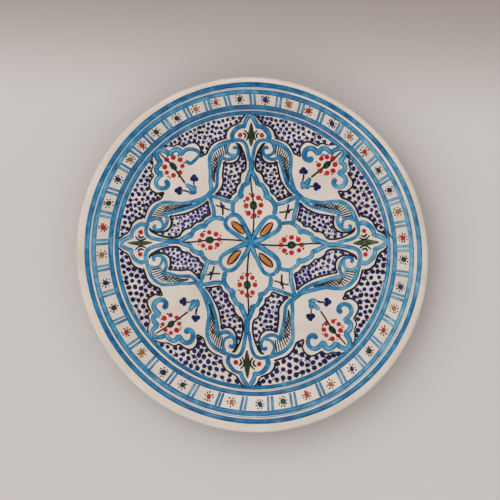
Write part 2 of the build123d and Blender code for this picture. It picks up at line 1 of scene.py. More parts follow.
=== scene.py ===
"""Looks of a hand painted earthenware plate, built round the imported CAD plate.

The plate is thrown on a wheel, tin glazed and painted by hand. Three small workshops make every
piece: the Wheel turns the clay and the glaze coats, the Brush lays strokes on the glazed face and
the Dabber touches dots onto it. The design itself is drawn once, for the eighth between the top
axis and the next diagonal, and a Layout carries it into the other eighths between guide lines that
are as uneven as a painter sets them out. Drawn sizes are in millimetres, meshes in metres.
"""
import logging
import math
import random
from dataclasses import dataclass, field
from enum import Enum
from typing import Any, Iterable, Sequence

import bpy
import numpy as np
from mathutils import Matrix, Vector


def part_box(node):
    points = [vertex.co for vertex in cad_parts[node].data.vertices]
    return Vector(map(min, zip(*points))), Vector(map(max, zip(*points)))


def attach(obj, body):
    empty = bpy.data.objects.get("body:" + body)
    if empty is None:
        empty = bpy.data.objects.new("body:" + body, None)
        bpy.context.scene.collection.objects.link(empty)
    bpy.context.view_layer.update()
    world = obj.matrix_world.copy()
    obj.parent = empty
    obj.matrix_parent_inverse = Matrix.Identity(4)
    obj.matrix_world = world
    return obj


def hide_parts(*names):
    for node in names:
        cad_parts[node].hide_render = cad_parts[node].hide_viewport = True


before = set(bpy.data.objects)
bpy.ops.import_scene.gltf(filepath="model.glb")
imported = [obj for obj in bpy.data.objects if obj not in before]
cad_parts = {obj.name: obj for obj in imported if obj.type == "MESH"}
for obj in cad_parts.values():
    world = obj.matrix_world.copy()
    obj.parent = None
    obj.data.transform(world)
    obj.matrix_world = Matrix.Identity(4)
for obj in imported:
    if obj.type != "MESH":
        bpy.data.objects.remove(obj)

LOG = logging.getLogger("plate")
MM = 0.001
HOVER = 0.1         # height from which a film is dropped onto the face, in metres
GLASS_IOR = 1.5
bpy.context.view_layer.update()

Point = tuple[float, float]


# ------------------------------------------------------------------------------------ node helpers
def linear(hex_colour: str) -> tuple[float, float, float, float]:
    """Turn an sRGB hex colour into a linear RGBA value.

    Args:
        hex_colour: six hex digits after a hash sign.

    Returns:
        The colour with an alpha of one.
    """
    channels = [int(hex_colour[i:i + 2], 16) / 255 for i in (1, 3, 5)]
    shares = [c / 12.92 if c <= 0.04045 else ((c + 0.055) / 1.055) ** 2.4 for c in channels]
    return (*shares, 1.0)


def add(tree: bpy.types.NodeTree, kind: str, inputs: dict | None = None,
        stops: Sequence[tuple[float, str]] = (), **settings: Any) -> bpy.types.Node:
    """Add a node with its settings and its inputs.

    Args:
        tree: the tree that gets the node.
        kind: the node's type name.
        inputs: values, or output sockets to link from, by socket name or number.
        stops: positions and sRGB hex colours of its colour ramp, where it has one.
        settings: properties of the node.

    Returns:
        The new node.
    """
    made = tree.nodes.new(kind)
    for name, value in settings.items():
        setattr(made, name, value)
    for name, value in (inputs or {}).items():
        if isinstance(value, bpy.types.NodeSocket):
            tree.links.new(value, made.inputs[name])
        else:
            made.inputs[name].default_value = value
    for number, (position, colour) in enumerate(stops):
        elements = made.color_ramp.elements
        element = elements[number] if number < len(elements) else elements.new(position)
        element.position = position
        element.color = linear(colour)
    return made


@dataclass(frozen=True)
class Workshop:
    """A geometry tree with the identifiers of its named inputs."""

    tree: bpy.types.NodeTree
    inputs: dict[str, str]

    def make(self, name: str, host: bpy.types.Mesh, **values: Any) -> bpy.types.Object:
        """Run the tree on a host mesh and keep the result as a plain mesh object.

        Args:
            name: the finished piece's name.
            host: the mesh of guide lines or points that the tree works on.
            values: input values by name, with underscores for spaces.

        Returns:
            The finished object, at the origin, with no modifier.
        """
        carrier = bpy.data.objects.new(name + "_host", host)
        bpy.context.scene.collection.objects.link(carrier)
        modifier = carrier.modifiers.new("Workshop", "NODES")
        modifier.node_group = self.tree
        for key, value in values.items():
            modifier[self.inputs[key.replace("_", " ")]] = value
        graph = bpy.context.evaluated_depsgraph_get()
        mesh = bpy.data.meshes.new_from_object(carrier.evaluated_get(graph))
        mesh.name = name
        piece = bpy.data.objects.new(name, mesh)
        bpy.context.scene.collection.objects.link(piece)
        bpy.data.objects.remove(carrier)
        bpy.data.meshes.remove(host)
        return piece


def workshop_tree(name: str, sockets: dict[str, tuple[str, Any]]) -> tuple:
    """Start a geometry tree with named inputs.

    Args:
        name: the tree's name.
        sockets: socket kind and default value by input name.

    Returns:
        The tree, its group input node and the identifiers of the inputs.
    """
    tree = bpy.data.node_groups.new(name, "GeometryNodeTree")
    tree.interface.new_socket("Geometry", in_out="INPUT", socket_type="NodeSocketGeometry")
    tree.interface.new_socket("Geometry", in_out="OUTPUT", socket_type="NodeSocketGeometry")
    identifiers = {}
    for label, (kind, default) in sockets.items():
        socket = tree.interface.new_socket(label, in_out="INPUT", socket_type="NodeSocket" + kind)
        if default is not None:
            socket.default_value = default
        identifiers[label] = socket.identifier
    return tree, add(tree, "NodeGroupInput"), identifiers


def end_tree(tree: bpy.types.NodeTree, given: bpy.types.Node, shape: bpy.types.NodeSocket) -> None:
    """End a tree with smooth shading, real geometry and the piece's material.

    Args:
        tree: the tree to end.
        given: its group input, with Material.
        shape: the finished shape.
    """
    smooth = add(tree, "GeometryNodeSetShadeSmooth", {"Geometry": shape})
    whole = add(tree, "GeometryNodeRealizeInstances", {"Geometry": smooth.outputs[0]})
    dressed = add(tree, "GeometryNodeSetMaterial", {
        "Geometry": whole.outputs[0], "Material": given.outputs["Material"]})
    add(tree, "NodeGroupOutput", {"Geometry": dressed.outputs[0]})


def press_flat(tree: bpy.types.NodeTree, shape: bpy.types.NodeSocket,
               facts: dict[str, bpy.types.NodeSocket],
               scale: tuple[float, float, float]) -> bpy.types.NodeSocket:
    """Write facts of a round shape on its points, then press it flat.

    Args:
        tree: the tree.
        shape: the round shape.
        facts: what each point remembers of the round shape, by attribute name.
        scale: 1 along what is kept and 0 along what is pressed flat.

    Returns:
        The flat shape.
    """
    for name, value in facts.items():
        shape = add(tree, "GeometryNodeStoreNamedAttribute", {
            "Geometry": shape, "Name": name, "Value": value}, data_type="FLOAT", domain="POINT").outputs[0]
    return add(tree, "GeometryNodeTransform", {"Geometry": shape, "Scale": scale}).outputs[0]


def lay_on_face(tree: bpy.types.NodeTree, given: bpy.types.Node, shape: bpy.types.NodeSocket) -> None:
    """End a tree by laying a flattened film on the glazed face.

    The film carries a rise of 1 on its crest, 0 at its edge and below 0 on its underside.

    Args:
        tree: the tree to end.
        given: its group input, with Face, Film height, Sink, Lift and Material.
        shape: the flattened film.
    """
    place = add(tree, "GeometryNodeInputPosition")
    plan = add(tree, "ShaderNodeVectorMath", {0: place.outputs[0], 1: (1, 1, 0)}, operation="MULTIPLY")
    above = add(tree, "ShaderNodeVectorMath", {0: plan.outputs[0], 1: (0, 0, HOVER)}, operation="ADD")
    face = add(tree, "GeometryNodeObjectInfo", {"Object": given.outputs["Face"]})
    drop = add(tree, "GeometryNodeRaycast", {
        "Target Geometry": face.outputs["Geometry"],
        "Source Position": above.outputs[0],
        "Ray Direction": (0, 0, -1),
        "Ray Length": 2 * HOVER,
    })
    rise = add(tree, "GeometryNodeInputNamedAttribute", {"Name": "rise"}, data_type="FLOAT")
    crest = add(tree, "ShaderNodeMath", {0: rise.outputs["Attribute"], 1: 0.0}, operation="MAXIMUM")
    under = add(tree, "ShaderNodeMath", {0: rise.outputs["Attribute"], 1: 0.0}, operation="MINIMUM")
    up = add(tree, "ShaderNodeMath", {0: crest.outputs[0], 1: given.outputs["Film height"]},
             operation="MULTIPLY")
    down = add(tree, "ShaderNodeMath", {0: under.outputs[0], 1: given.outputs["Sink"]},
               operation="MULTIPLY")
    both = add(tree, "ShaderNodeMath", {0: up.outputs[0], 1: down.outputs[0]}, operation="ADD")
    over = add(tree, "GeometryNodeInputNamedAttribute", {"Name": "lift"}, data_type="FLOAT")
    base = add(tree, "ShaderNodeMath", {0: over.outputs["Attribute"], 1: given.outputs["Lift"]},
               operation="ADD")
    height = add(tree, "ShaderNodeMath", {0: both.outputs[0], 1: base.outputs[0]}, operation="ADD")
    offset = add(tree, "ShaderNodeVectorMath", {
        0: drop.outputs["Hit Normal"], "Scale": height.outputs[0]}, operation="SCALE")
    laid = add(tree, "GeometryNodeSetPosition", {
        "Geometry": shape,
        "Selection": drop.outputs["Is Hit"],
        "Position": drop.outputs["Hit Position"],
        "Offset": offset.outputs[0],
    })
    end_tree(tree, given, laid.outputs[0])


FILM_SOCKETS = {
    "Face": ("Object", None),
    "Material": ("Material", None),
    "Film height": ("Float", 0.00016),      # of the crest, in metres
    "Sink": ("Float", 0.00012),             # how deep the underside lies in the glaze
    "Lift": ("Float", 0.00002),             # of the edge over the glaze
    "Ragged edge": ("Float", 0.10),         # as a share of the half width
}


# ------------------------------------------------------------------------------------ finishes
class Slot(Enum):
    """Material slots of the record."""

    CLAY = "fired_clay"
    GLAZE = "tin_glaze"
    BLUE = "blue_pigment"
    NAVY = "navy_pigment"
    RED = "red_pigment"
    GREEN = "green_pigment"
    OCHRE = "ochre_pigment"
    BLACK = "black_pigment"


def new_material(name: str) -> tuple[bpy.types.Material, bpy.types.NodeTree]:
    """Start a material with an empty tree.

    Args:
        name: the material's name.

    Returns:
        The material and its tree.
    """
    material = bpy.data.materials.new(name)
    material.use_nodes = True
    material.node_tree.nodes.clear()
    return material, material.node_tree


def end_material(tree: bpy.types.NodeTree, colour: bpy.types.NodeSocket, relief: bpy.types.NodeSocket,
                 strength: float, depth_mm: float, **surface: float) -> None:
    """End a material with a bump and a shader.

    Args:
        tree: the material's tree.
        colour: its base colour.
        relief: the height of its bump.
        strength: the bump's strength.
        depth_mm: the bump's depth.
        surface: the shader's other inputs by name, with underscores for spaces.
    """
    bump = add(tree, "ShaderNodeBump", {"Height": relief, "Strength": strength, "Distance": depth_mm * MM})
    shader = add(tree, "ShaderNodeBsdfPrincipled", {
        "Base Color": colour, "IOR": GLASS_IOR, "Normal": bump.outputs[0],
        **{name.replace("_", " "): value for name, value in surface.items()}})
    add(tree, "ShaderNodeOutputMaterial", {"Surface": shader.outputs[0]})


@dataclass(frozen=True)
class Pigment:
    """Metal oxide pigment brushed on raw tin glaze and fired into it.

    The eye sees a glassy colour that is thin and streaked where the brush ran dry, and deep where
    the wet paint pooled at the edges and the ends of a stroke.
    """

    name: str
    slot: Slot
    thin: str
    body: str
    deep: str
    roughness: float = 0.2
    specular: float = 0.3               # the fired pigment mirrors less than the clear glaze
    streak_width: float = 0.35          # of the half width of a stroke
    streak_length_mm: float = 9.0
    blotch_mm: float = 2.6
    streak_depth: float = 0.55
    blotch_depth: float = 0.5
    pool_depth: float = 0.28            # below 0 where the sides stay thinner than the middle
    pool_start: float = 0.45            # of the half width, where the pooled side begins
    pool_end: float = 0.95

    def material(self) -> bpy.types.Material:
        """Build the material from the stroke's own attributes."""
        material, tree = new_material(self.name)
        across = add(tree, "ShaderNodeAttribute", attribute_name="across")
        along = add(tree, "ShaderNodeAttribute", attribute_name="along")
        load = add(tree, "ShaderNodeAttribute", attribute_name="load")
        place = add(tree, "ShaderNodeTexCoord")
        run = add(tree, "ShaderNodeMath", {
            0: along.outputs["Fac"], 1: 1 / (self.streak_length_mm * MM)}, operation="MULTIPLY")
        lane = add(tree, "ShaderNodeMath", {0: across.outputs["Fac"], 1: 1 / self.streak_width},
                   operation="MULTIPLY")
        lanes = add(tree, "ShaderNodeCombineXYZ", {"X": lane.outputs[0], "Y": run.outputs[0],
                                                   "Z": load.outputs["Fac"]})
        streaks = add(tree, "ShaderNodeTexNoise", {
            "Vector": lanes.outputs[0], "Scale": 1.0, "Detail": 2.0})
        blotches = add(tree, "ShaderNodeTexNoise", {
            "Vector": place.outputs["Object"], "Scale": 1 / (self.blotch_mm * MM), "Detail": 2.0})
        edge = add(tree, "ShaderNodeMath", {0: across.outputs["Fac"]}, operation="ABSOLUTE")
        pool = add(tree, "ShaderNodeMapRange", {
            "Value": edge.outputs[0], "From Min": self.pool_start, "From Max": self.pool_end,
            "To Min": 0.0, "To Max": self.pool_depth})
        streak, blotch = (
            add(tree, "ShaderNodeMapRange", {
                "Value": noise.outputs["Fac"], "From Min": 0.3, "From Max": 0.7,
                "To Min": -swing / 2, "To Max": swing / 2})
            for noise, swing in ((streaks, self.streak_depth), (blotches, self.blotch_depth)))
        # the load of a brushed stroke also carries painted sheen: paler towards the sides of the plate
        wet_and_sheen = add(tree, "ShaderNodeMath", {0: load.outputs["Fac"], 1: pool.outputs[0]}, operation="ADD")
        run_dry = add(tree, "ShaderNodeMath", {0: wet_and_sheen.outputs[0], 1: streak.outputs[0]}, operation="ADD")
        depth = add(tree, "ShaderNodeMath", {0: run_dry.outputs[0], 1: blotch.outputs[0]}, operation="ADD",
                    use_clamp=True)
        colour = add(tree, "ShaderNodeValToRGB", {"Fac": depth.outputs[0]},
                     stops=((0.0, self.thin), (0.5, self.body), (1.0, self.deep)))
        end_material(tree, colour.outputs["Color"], depth.outputs[0], 0.15, 0.05,
                     Roughness=self.roughness, Specular_IOR_Level=self.specular)
        return material


@dataclass(frozen=True)
class TinGlaze:
    """Opaque tin glaze, dipped and fired.

    The eye sees warm cream glass, a little uneven in tone, with faint wheel rings under the gloss
    and a few brown specks where iron in the clay has burnt through.
    """

    name: str = "Tin glaze, dipped and fired"
    slot: Slot = Slot.GLAZE
    light: str = "#E0D4C9"
    body: str = "#DACDC2"
    warm: str = "#D2C3B5"
    speck: str = "#7A5A44"
    roughness: float = 0.3
    mottle_mm: float = 32.0
    ring_pitch_mm: float = 2.3
    peel_mm: float = 1.1
    speck_cell_mm: float = 7.0
    speck_chance: float = 0.14          # share of the cells that hold a speck
    speck_share: float = 0.075          # radius of the largest speck, as a share of its cell

    def material(self) -> bpy.types.Material:
        """Build the glaze on Object coordinates."""
        material, tree = new_material(self.name)
        place = add(tree, "ShaderNodeTexCoord").outputs["Object"]
        mottle = add(tree, "ShaderNodeTexNoise", {"Vector": place, "Scale": 1 / (self.mottle_mm * MM),
                                                  "Detail": 3.0, "Roughness": 0.6})
        tone = add(tree, "ShaderNodeValToRGB", {"Fac": mottle.outputs["Fac"]},
                   stops=((0.3, self.warm), (0.5, self.body), (0.7, self.light)))
        cells = add(tree, "ShaderNodeTexVoronoi", {"Vector": place, "Scale": 1 / (self.speck_cell_mm * MM),
                                                   "Randomness": 1.0})
        chance = add(tree, "ShaderNodeSeparateColor", {"Color": cells.outputs["Color"]})
        size = add(tree, "ShaderNodeMapRange", {
            "Value": chance.outputs["Red"], "From Min": 1 - self.speck_chance, "From Max": 1.0,
            "To Min": 0.0, "To Max": self.speck_share})
        inside = add(tree, "ShaderNodeMath", {0: cells.outputs["Distance"], 1: size.outputs[0]},
                     operation="LESS_THAN")
        colour = add(tree, "ShaderNodeMix", {"Factor": inside.outputs[0], 6: tone.outputs["Color"],
                                             7: linear(self.speck)}, data_type="RGBA")
        plan = add(tree, "ShaderNodeVectorMath", {0: place, 1: (1, 1, 0)}, operation="MULTIPLY")
        reach = add(tree, "ShaderNodeVectorMath", {0: plan.outputs[0]}, operation="LENGTH")
        turns = add(tree, "ShaderNodeMath", {
            0: reach.outputs["Value"], 1: 2 * math.pi / (self.ring_pitch_mm * MM)}, operation="MULTIPLY")
        rings = add(tree, "ShaderNodeMath", {0: turns.outputs[0]}, operation="SINE")
        peel = add(tree, "ShaderNodeTexNoise", {"Vector": place, "Scale": 1 / (self.peel_mm * MM),
                                                "Detail": 1.0})
        relief = add(tree, "ShaderNodeMath", {0: rings.outputs[0], 1: 0.35, 2: peel.outputs["Fac"]},
                     operation="MULTIPLY_ADD")
        end_material(tree, colour.outputs[2], relief.outputs[0], 0.18, 0.04, Roughness=self.roughness)
        return material


@dataclass(frozen=True)
class FiredClay:
    """Red earthenware, turned on the wheel and fired without glaze on the foot.

    The eye sees a matt, warm, fine grained ring with darker grog specks.
    """

    name: str = "Red earthenware, turned and fired bare"
    slot: Slot = Slot.CLAY
    pale: str = "#C99A78"
    body: str = "#B98461"
    dark: str = "#94603F"
    grain_mm: float = 0.8
    tone_mm: float = 18.0

    def material(self) -> bpy.types.Material:
        """Build the clay on Object coordinates."""
        material, tree = new_material(self.name)
        place = add(tree, "ShaderNodeTexCoord").outputs["Object"]
        tone = add(tree, "ShaderNodeTexNoise", {"Vector": place, "Scale": 1 / (self.tone_mm * MM),
                                                "Detail": 4.0})
        grain = add(tree, "ShaderNodeTexNoise", {"Vector": place, "Scale": 1 / (self.grain_mm * MM),
                                                 "Detail": 3.0, "Roughness": 0.7})
        mixed = add(tree, "ShaderNodeMath", {0: grain.outputs["Fac"], 1: 0.4, 2: tone.outputs["Fac"]},
                    operation="MULTIPLY_ADD")
        colour = add(tree, "ShaderNodeValToRGB", {"Fac": mixed.outputs[0]},
                     stops=((0.45, self.dark), (0.68, self.body), (0.9, self.pale)))
        end_material(tree, colour.outputs["Color"], grain.outputs["Fac"], 0.5, 0.15, Roughness=0.85)
        return material


LIGHT_BLUE = Pigment("Copper cobalt blue, brushed and fired in", Slot.BLUE, "#84B4C8", "#2A80A8",
                     "#02497C", streak_depth=0.45, blotch_mm=7.0, streak_length_mm=22.0, pool_depth=0.4)
NAVY = Pigment("Cobalt blue, dabbed and fired in", Slot.NAVY, "#42429A", "#13135A", "#070732",
               pool_depth=-0.25, streak_depth=0.35, blotch_depth=0.6)
RED = Pigment("Iron red, dabbed thick and fired in", Slot.RED, "#D2503F", "#BE221D", "#8E0C0F",
              pool_depth=-0.25, streak_depth=0.2, roughness=0.24)
GREEN = Pigment("Copper green over black, dabbed and fired in", Slot.GREEN, "#66764A", "#2F3C21",
                "#10170B", streak_depth=0.3)
OCHRE = Pigment("Antimony ochre, brushed and fired in", Slot.OCHRE, "#D49260", "#C27638", "#985624")
BLACK = Pigment("Manganese black, drawn with a liner", Slot.BLACK, "#332A2E", "#130E11", "#060405",
                pool_depth=0.0, streak_depth=0.4, streak_length_mm=6.0)


class Palette:
    """The finishes, each built once and shared by the pieces that wear it."""

    def __init__(self) -> None:
        """Start with no material built."""
        self.built: dict[str, bpy.types.Material] = {}

    def of(self, finish: Any) -> bpy.types.Material:
        """Give the material of a finish.

        Args:
            finish: a finish with a name and a material method.

        Returns:
            The one material of that finish.
        """
        if finish.name not in self.built:
            self.built[finish.name] = finish.material()
        return self.built[finish.name]


# ------------------------------------------------------------------------------------ the layout
@dataclass(frozen=True)
class Layout:
    """Guide lines that the design is set out on.

    Each guide holds landmarks as (distance from the heart, bearing clockwise from the top). Along
    an axis these are the petal floret, the petal tip, the middle of the finial and its tip. Along a
    diagonal they are the almond, the lattice square, the crossing, the V, the floret and the tip.
    """

    heart: Point = (1.0, 11.5)
    axes: tuple = (
        ((31.5, 3.6), (60.5, -0.4), (91.0, 0.0), (107.5, -0.5)),
        ((34.5, 92.5), (64.0, 90.4), (97.0, 88.8), (115.0, 88.3)),
        ((36.5, 185.3), (65.5, 182.6), (105.5, 181.9), (124.5, 180.9)),
        ((36.0, 272.4), (62.0, 269.5), (98.0, 268.5), (116.0, 268.5)),
    )
    diagonals: tuple = (
        ((17.4, 48.5), (40.3, 49.0), (56.6, 45.0), (64.3, 44.9), (91.9, 44.1), (110.7, 44.8)),
        ((20.2, 138.4), (42.4, 142.2), (58.6, 140.2), (70.1, 135.6), (100.5, 136.2), (120.6, 136.2)),
        ((20.2, 228.0), (43.2, 231.1), (58.6, 230.2), (69.0, 224.1), (100.8, 224.3), (119.9, 226.5)),
        ((17.1, 317.1), (38.0, 320.0), (53.4, 317.7), (64.0, 312.8), (92.9, 313.5), (111.4, 313.4)),
    )

    @staticmethod
    def along(value: float, marks: Sequence[float], targets: Sequence[float]) -> float:
        """Carry a value from one row of landmarks to another.

        Args:
            value: where the value lies among the marks.
            marks: rising landmarks.
            targets: the other row's landmarks.

        Returns:
            The same place in the other row, straight between neighbours and beyond the last.
        """
        last = len(marks) - 1
        i = next((k for k in range(1, last) if value < marks[k]), last)
        share = (value - marks[i - 1]) / (marks[i] - marks[i - 1])
        return targets[i - 1] + share * (targets[i] - targets[i - 1])

    def on_guide(self, distance: float, drawn: tuple, target: tuple) -> tuple[float, float]:
        """Place on a target guide what lies at a distance on the drawn guide.

        Args:
            distance: distance from the heart on the drawn guide.
            drawn: the drawn guide.
            target: the target guide.

        Returns:
            Distance and bearing on the target guide.
        """
        marks = [0.0] + [mark[0] for mark in drawn]
        reach = self.along(distance, marks, [0.0] + [mark[0] for mark in target])
        bearing = self.along(distance, marks, [target[0][1]] + [mark[1] for mark in target])
        return reach, bearing

    def lay(self, point: Point, quarter: int, mirrored: bool = False) -> Point:
        """Lay a point of the drawn eighth into another quarter.

        Args:
            point: a point of the drawn eighth.
            quarter: 0 to 3, clockwise from the top.
            mirrored: whether it goes to the anticlockwise side of that quarter's axis.

        Returns:
            The point's place on the plate.
        """
        distance, bearing = math.dist(point, self.heart), heading(self.heart, point)
        drawn_axis, drawn_diagonal = self.axes[0], self.diagonals[0]
        axis_reach, axis_bearing = self.on_guide(distance, drawn_axis, self.axes[quarter])
        own_axis = self.on_guide(distance, drawn_axis, drawn_axis)[1]
        own_diagonal = self.on_guide(distance, drawn_diagonal, drawn_diagonal)[1]
        diagonal = self.diagonals[(quarter - mirrored) % 4]
        far_reach, far_bearing = self.on_guide(distance, drawn_diagonal, diagonal)
        share = (bearing - own_axis) / (own_diagonal - own_axis)
        turned = axis_bearing + share * half_turn(far_bearing - axis_bearing)
        return around(self.heart, axis_reach + share * (far_reach - axis_reach), turned)

    def sides(self) -> list[tuple[int, bool]]:
        """List the eight eighths as quarter and side."""
        return [(quarter, mirrored) for quarter in range(4) for mirrored in (False, True)]

    def on_axis(self, quarter: int, landmark: int) -> Point:
        """Give the place of a landmark of an axis, by its number from the heart out."""
        return around(self.heart, *self.axes[quarter][landmark])


def heading(start: Point, end: Point) -> float:
    """Give the bearing, clockwise from the top, from one point to another."""
    return math.degrees(math.atan2(end[0] - start[0], end[1] - start[1]))


def around(centre: Point, radius: float, bearing: float) -> Point:
    """Give the place at a distance and a bearing, clockwise from the top, from a centre."""
    turn = math.radians(bearing)
    return centre[0] + radius * math.sin(turn), centre[1] + radius * math.cos(turn)


def half_turn(bearing: float) -> float:
    """Bring a bearing between -180 and 180 degrees."""
    return (bearing + 180) % 360 - 180


# ------------------------------------------------------------------------------------ the wheel
@dataclass(frozen=True)
class Section:
    """Section of the plate, in millimetres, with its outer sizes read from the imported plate."""

    radius: float
    crown: float                    # height of the lip's highest point
    floor_top: float = 11.0
    wall: float = 5.5
    floor_radius: float = 110.0     # where the floor begins to turn up
    hollow: float = 30.0            # radius of the bend between floor and wall
    rim_bend: float = 24.0
    slope: float = 32.0             # of the wall, in degrees
    foot_radius: float = 91.5       # middle of the foot ring
    foot_top: float = 9.0           # width of the ring at its root
    foot_base: float = 6.0          # and at its foot
    foot_edge: float = 0.6          # rounding of the resting face's two edges
    glaze: float = 0.4
    bare: float = 1.2               # height of foot without glaze
    step: float = 1.0               # between points of a visible line

    @classmethod
    def from_frame(cls) -> "Section":
        """Read the plate's radius and the height of its lip from the face glaze."""
        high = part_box("face_glaze")[1]
        return cls(radius=high.x / MM, crown=high.z / MM)

    def arc(self, centre: Point, radius: float, start: float, end: float) -> list[Point]:
        """Sample an arc of the section.

        Args:
            centre: distance from the axis and height of the arc's centre.
            radius: its radius.
            start: first angle, in degrees from straight out.
            end: last angle.

        Returns:
            Points along the arc, both ends included.
        """
        count = max(4, math.ceil(abs(math.radians(end - start)) * radius / self.step))
        angles = [math.radians(start + (end - start) * i / count) for i in range(count + 1)]
        return [(centre[0] + radius * math.cos(a), centre[1] + radius * math.sin(a)) for a in angles]

    def run(self, start: Point, end: Point, step: float) -> list[Point]:
        """Sample a straight run, without its last point."""
        count = max(1, math.ceil(math.dist(start, end) / step))
        return [tuple(a + (b - a) * i / count for a, b in zip(start, end)) for i in range(count)]

    @property
    def lip(self) -> Point:
        """Middle of the half round lip."""
        return self.radius - self.wall / 2, self.crown - self.wall / 2

    def face(self, inset: float, step: float) -> list[Point]:
        """Upper line from the axis to the outermost point of the lip."""
        hollow = self.arc((self.floor_radius, self.floor_top + self.hollow), self.hollow + inset,
                          -90, self.slope - 90)
        rim = self.arc((self.lip[0], self.crown - self.rim_bend), self.rim_bend - inset,
                       90 + self.slope, 90)
        lip = self.arc(self.lip, self.wall / 2 - inset, 90, 0)
        floor = self.run((0.0, self.floor_top - inset), hollow[0], step)
        return floor + hollow[:-1] + self.run(hollow[-1], rim[0], step) + rim + lip[1:]

    def back(self, inset: float, step: float) -> list[Point]:
        """Lower line from the outermost point of the lip to the flat underside."""
        depth = self.wall - inset
        lip = self.arc(self.lip, self.wall / 2 - inset, 0, -90)
        rim = self.arc((self.lip[0], self.crown - self.rim_bend), self.rim_bend - depth,
                       90, 90 + self.slope)
        hollow = self.arc((self.floor_radius, self.floor_top + self.hollow), self.hollow + depth,
                          self.slope - 90, -90)
        return lip + rim[1:-1] + self.run(rim[-1], hollow[0], step) + hollow

    def foot_side(self, outward: int, inset: float, height: float) -> float:
        """Distance from the axis of the foot's side at a height."""
        share = height / (self.floor_top - self.wall)
        half = (self.foot_base + (self.foot_top - self.foot_base) * share) / 2
        return self.foot_radius + outward * (half - inset)


class Wheel:
    """Turns a section into a round piece with a thrower's slight unevenness."""

    HUB = 50.0              # radius of the ring that carries the section, in millimetres
    SWAY_REACH = (0.1, 0.15)    # from where to where on the radius the sway grows, in metres
    SWAY_SCALE = 0.9
    WELD = 1e-6                 # distance at which points become one, in metres

    def __init__(self, palette: Palette) -> None:
        """Build the tree.

        Args:
            palette: the shared finishes.
        """
        self.palette = palette
        tree, given, identifiers = workshop_tree("Turned on the wheel", {
            "Material": ("Material", None),
            "Segments": ("Int", 320),
            "Sway": ("Float", 0.00035),
            "Ring depth": ("Float", 0.00003),
            "Ring pitch": ("Float", 0.0042),
            "Seed": ("Float", 3.0),
        })
        section = add(tree, "GeometryNodeMeshToCurve", {"Mesh": given.outputs["Geometry"]})
        ring = add(tree, "GeometryNodeCurvePrimitiveCircle", {
            "Resolution": given.outputs["Segments"], "Radius": self.HUB * MM})
        upright = add(tree, "GeometryNodeSetCurveNormal", {"Curve": ring.outputs[0]}, mode="Z_UP")
        swept = add(tree, "GeometryNodeCurveToMesh", {
            "Curve": upright.outputs[0], "Profile Curve": section.outputs[0]})
        welded = add(tree, "GeometryNodeMergeByDistance", {
            "Geometry": swept.outputs[0], "Distance": self.WELD})
        end_tree(tree, given, self.sway(tree, given, welded.outputs[0]))
        self.shop = Workshop(tree, identifiers)

    def sway(self, tree: bpy.types.NodeTree, given: bpy.types.Node,
             shape: bpy.types.NodeSocket) -> bpy.types.NodeSocket:
        """Add the throwing rings and the slow sway of the lip.

        Args:
            tree: the wheel's tree.
            given: its group input.
            shape: the turned shape.

        Returns:
            The uneven shape.
        """
        place = add(tree, "GeometryNodeInputPosition").outputs[0]
        plan = add(tree, "ShaderNodeVectorMath", {0: place, 1: (1, 1, 0)}, operation="MULTIPLY")
        reach = add(tree, "ShaderNodeVectorMath", {0: plan.outputs[0]}, operation="LENGTH")
        outward = add(tree, "ShaderNodeVectorMath", {0: plan.outputs[0]}, operation="NORMALIZE")
        noise = add(tree, "ShaderNodeTexNoise", {"Vector": outward.outputs[0], "W": given.outputs["Seed"],
                                                 "Scale": self.SWAY_SCALE, "Detail": 0.0},
                    noise_dimensions="4D")
        share = add(tree, "ShaderNodeMapRange", {
            "Value": reach.outputs["Value"], "From Min": self.SWAY_REACH[0],
            "From Max": self.SWAY_REACH[1], "To Min": 0.0, "To Max": -1.0})
        sag = add(tree, "ShaderNodeMath", {0: noise.outputs["Fac"], 1: given.outputs["Sway"]},
                  operation="MULTIPLY")
        drop = add(tree, "ShaderNodeMath", {0: sag.outputs[0], 1: share.outputs[0]}, operation="MULTIPLY")
        turn = add(tree, "ShaderNodeMath", {0: reach.outputs["Value"], 1: given.outputs["Ring pitch"]},
                   operation="DIVIDE")
        wave = add(tree, "ShaderNodeMath", {0: turn.outputs[0], 1: 2 * math.pi}, operation="MULTIPLY")
        rings = add(tree, "ShaderNodeMath", {0: wave.outputs[0]}, operation="SINE")
        low = add(tree, "ShaderNodeMath", {0: rings.outputs[0], 1: -1.0}, operation="ADD")
        groove = add(tree, "ShaderNodeMath", {0: low.outputs[0], 1: given.outputs["Ring depth"]},
                     operation="MULTIPLY")
        height = add(tree, "ShaderNodeMath", {0: groove.outputs[0], 1: drop.outputs[0]}, operation="ADD")
        shift = add(tree, "ShaderNodeCombineXYZ", {"Z": height.outputs[0]})
        sideways = add(tree, "ShaderNodeVectorMath", {0: outward.outputs[0], "Scale": drop.outputs[0]},
                       operation="SCALE")
        offset = add(tree, "ShaderNodeVectorMath", {0: shift.outputs[0], 1: sideways.outputs[0]},
                     operation="ADD")
        moved = add(tree, "GeometryNodeSetPosition", {"Geometry": shape, "Offset": offset.outputs[0]})
        return moved.outputs[0]

    def turn(self, name: str, line: Sequence[Point], closed: bool, finish: Any, node: str,
             **sizes: Any) -> bpy.types.Object:
        """Turn one piece and let it stand for its CAD node.

        Args:
            name: the piece's name.
            line: the section, as distance from the axis and height, in millimetres.
            closed: whether the section is a closed loop, not ended on the axis.
            finish: the piece's finish.
            node: the CAD node that it stands for.
            sizes: inputs of the tree that differ from its defaults.

        Returns:
            The finished piece.
        """
        host = bpy.data.meshes.new(name + "_section")
        count = len(line)
        edges = [(i, (i + 1) % count) for i in range(count if closed else count - 1)]
        host.from_pydata([((r - self.HUB) * MM, -z * MM, 0.0) for r, z in line], edges, [])
        piece = self.shop.make(name, host, Material=self.palette.of(finish), **sizes)
        return settle(piece, finish, node)


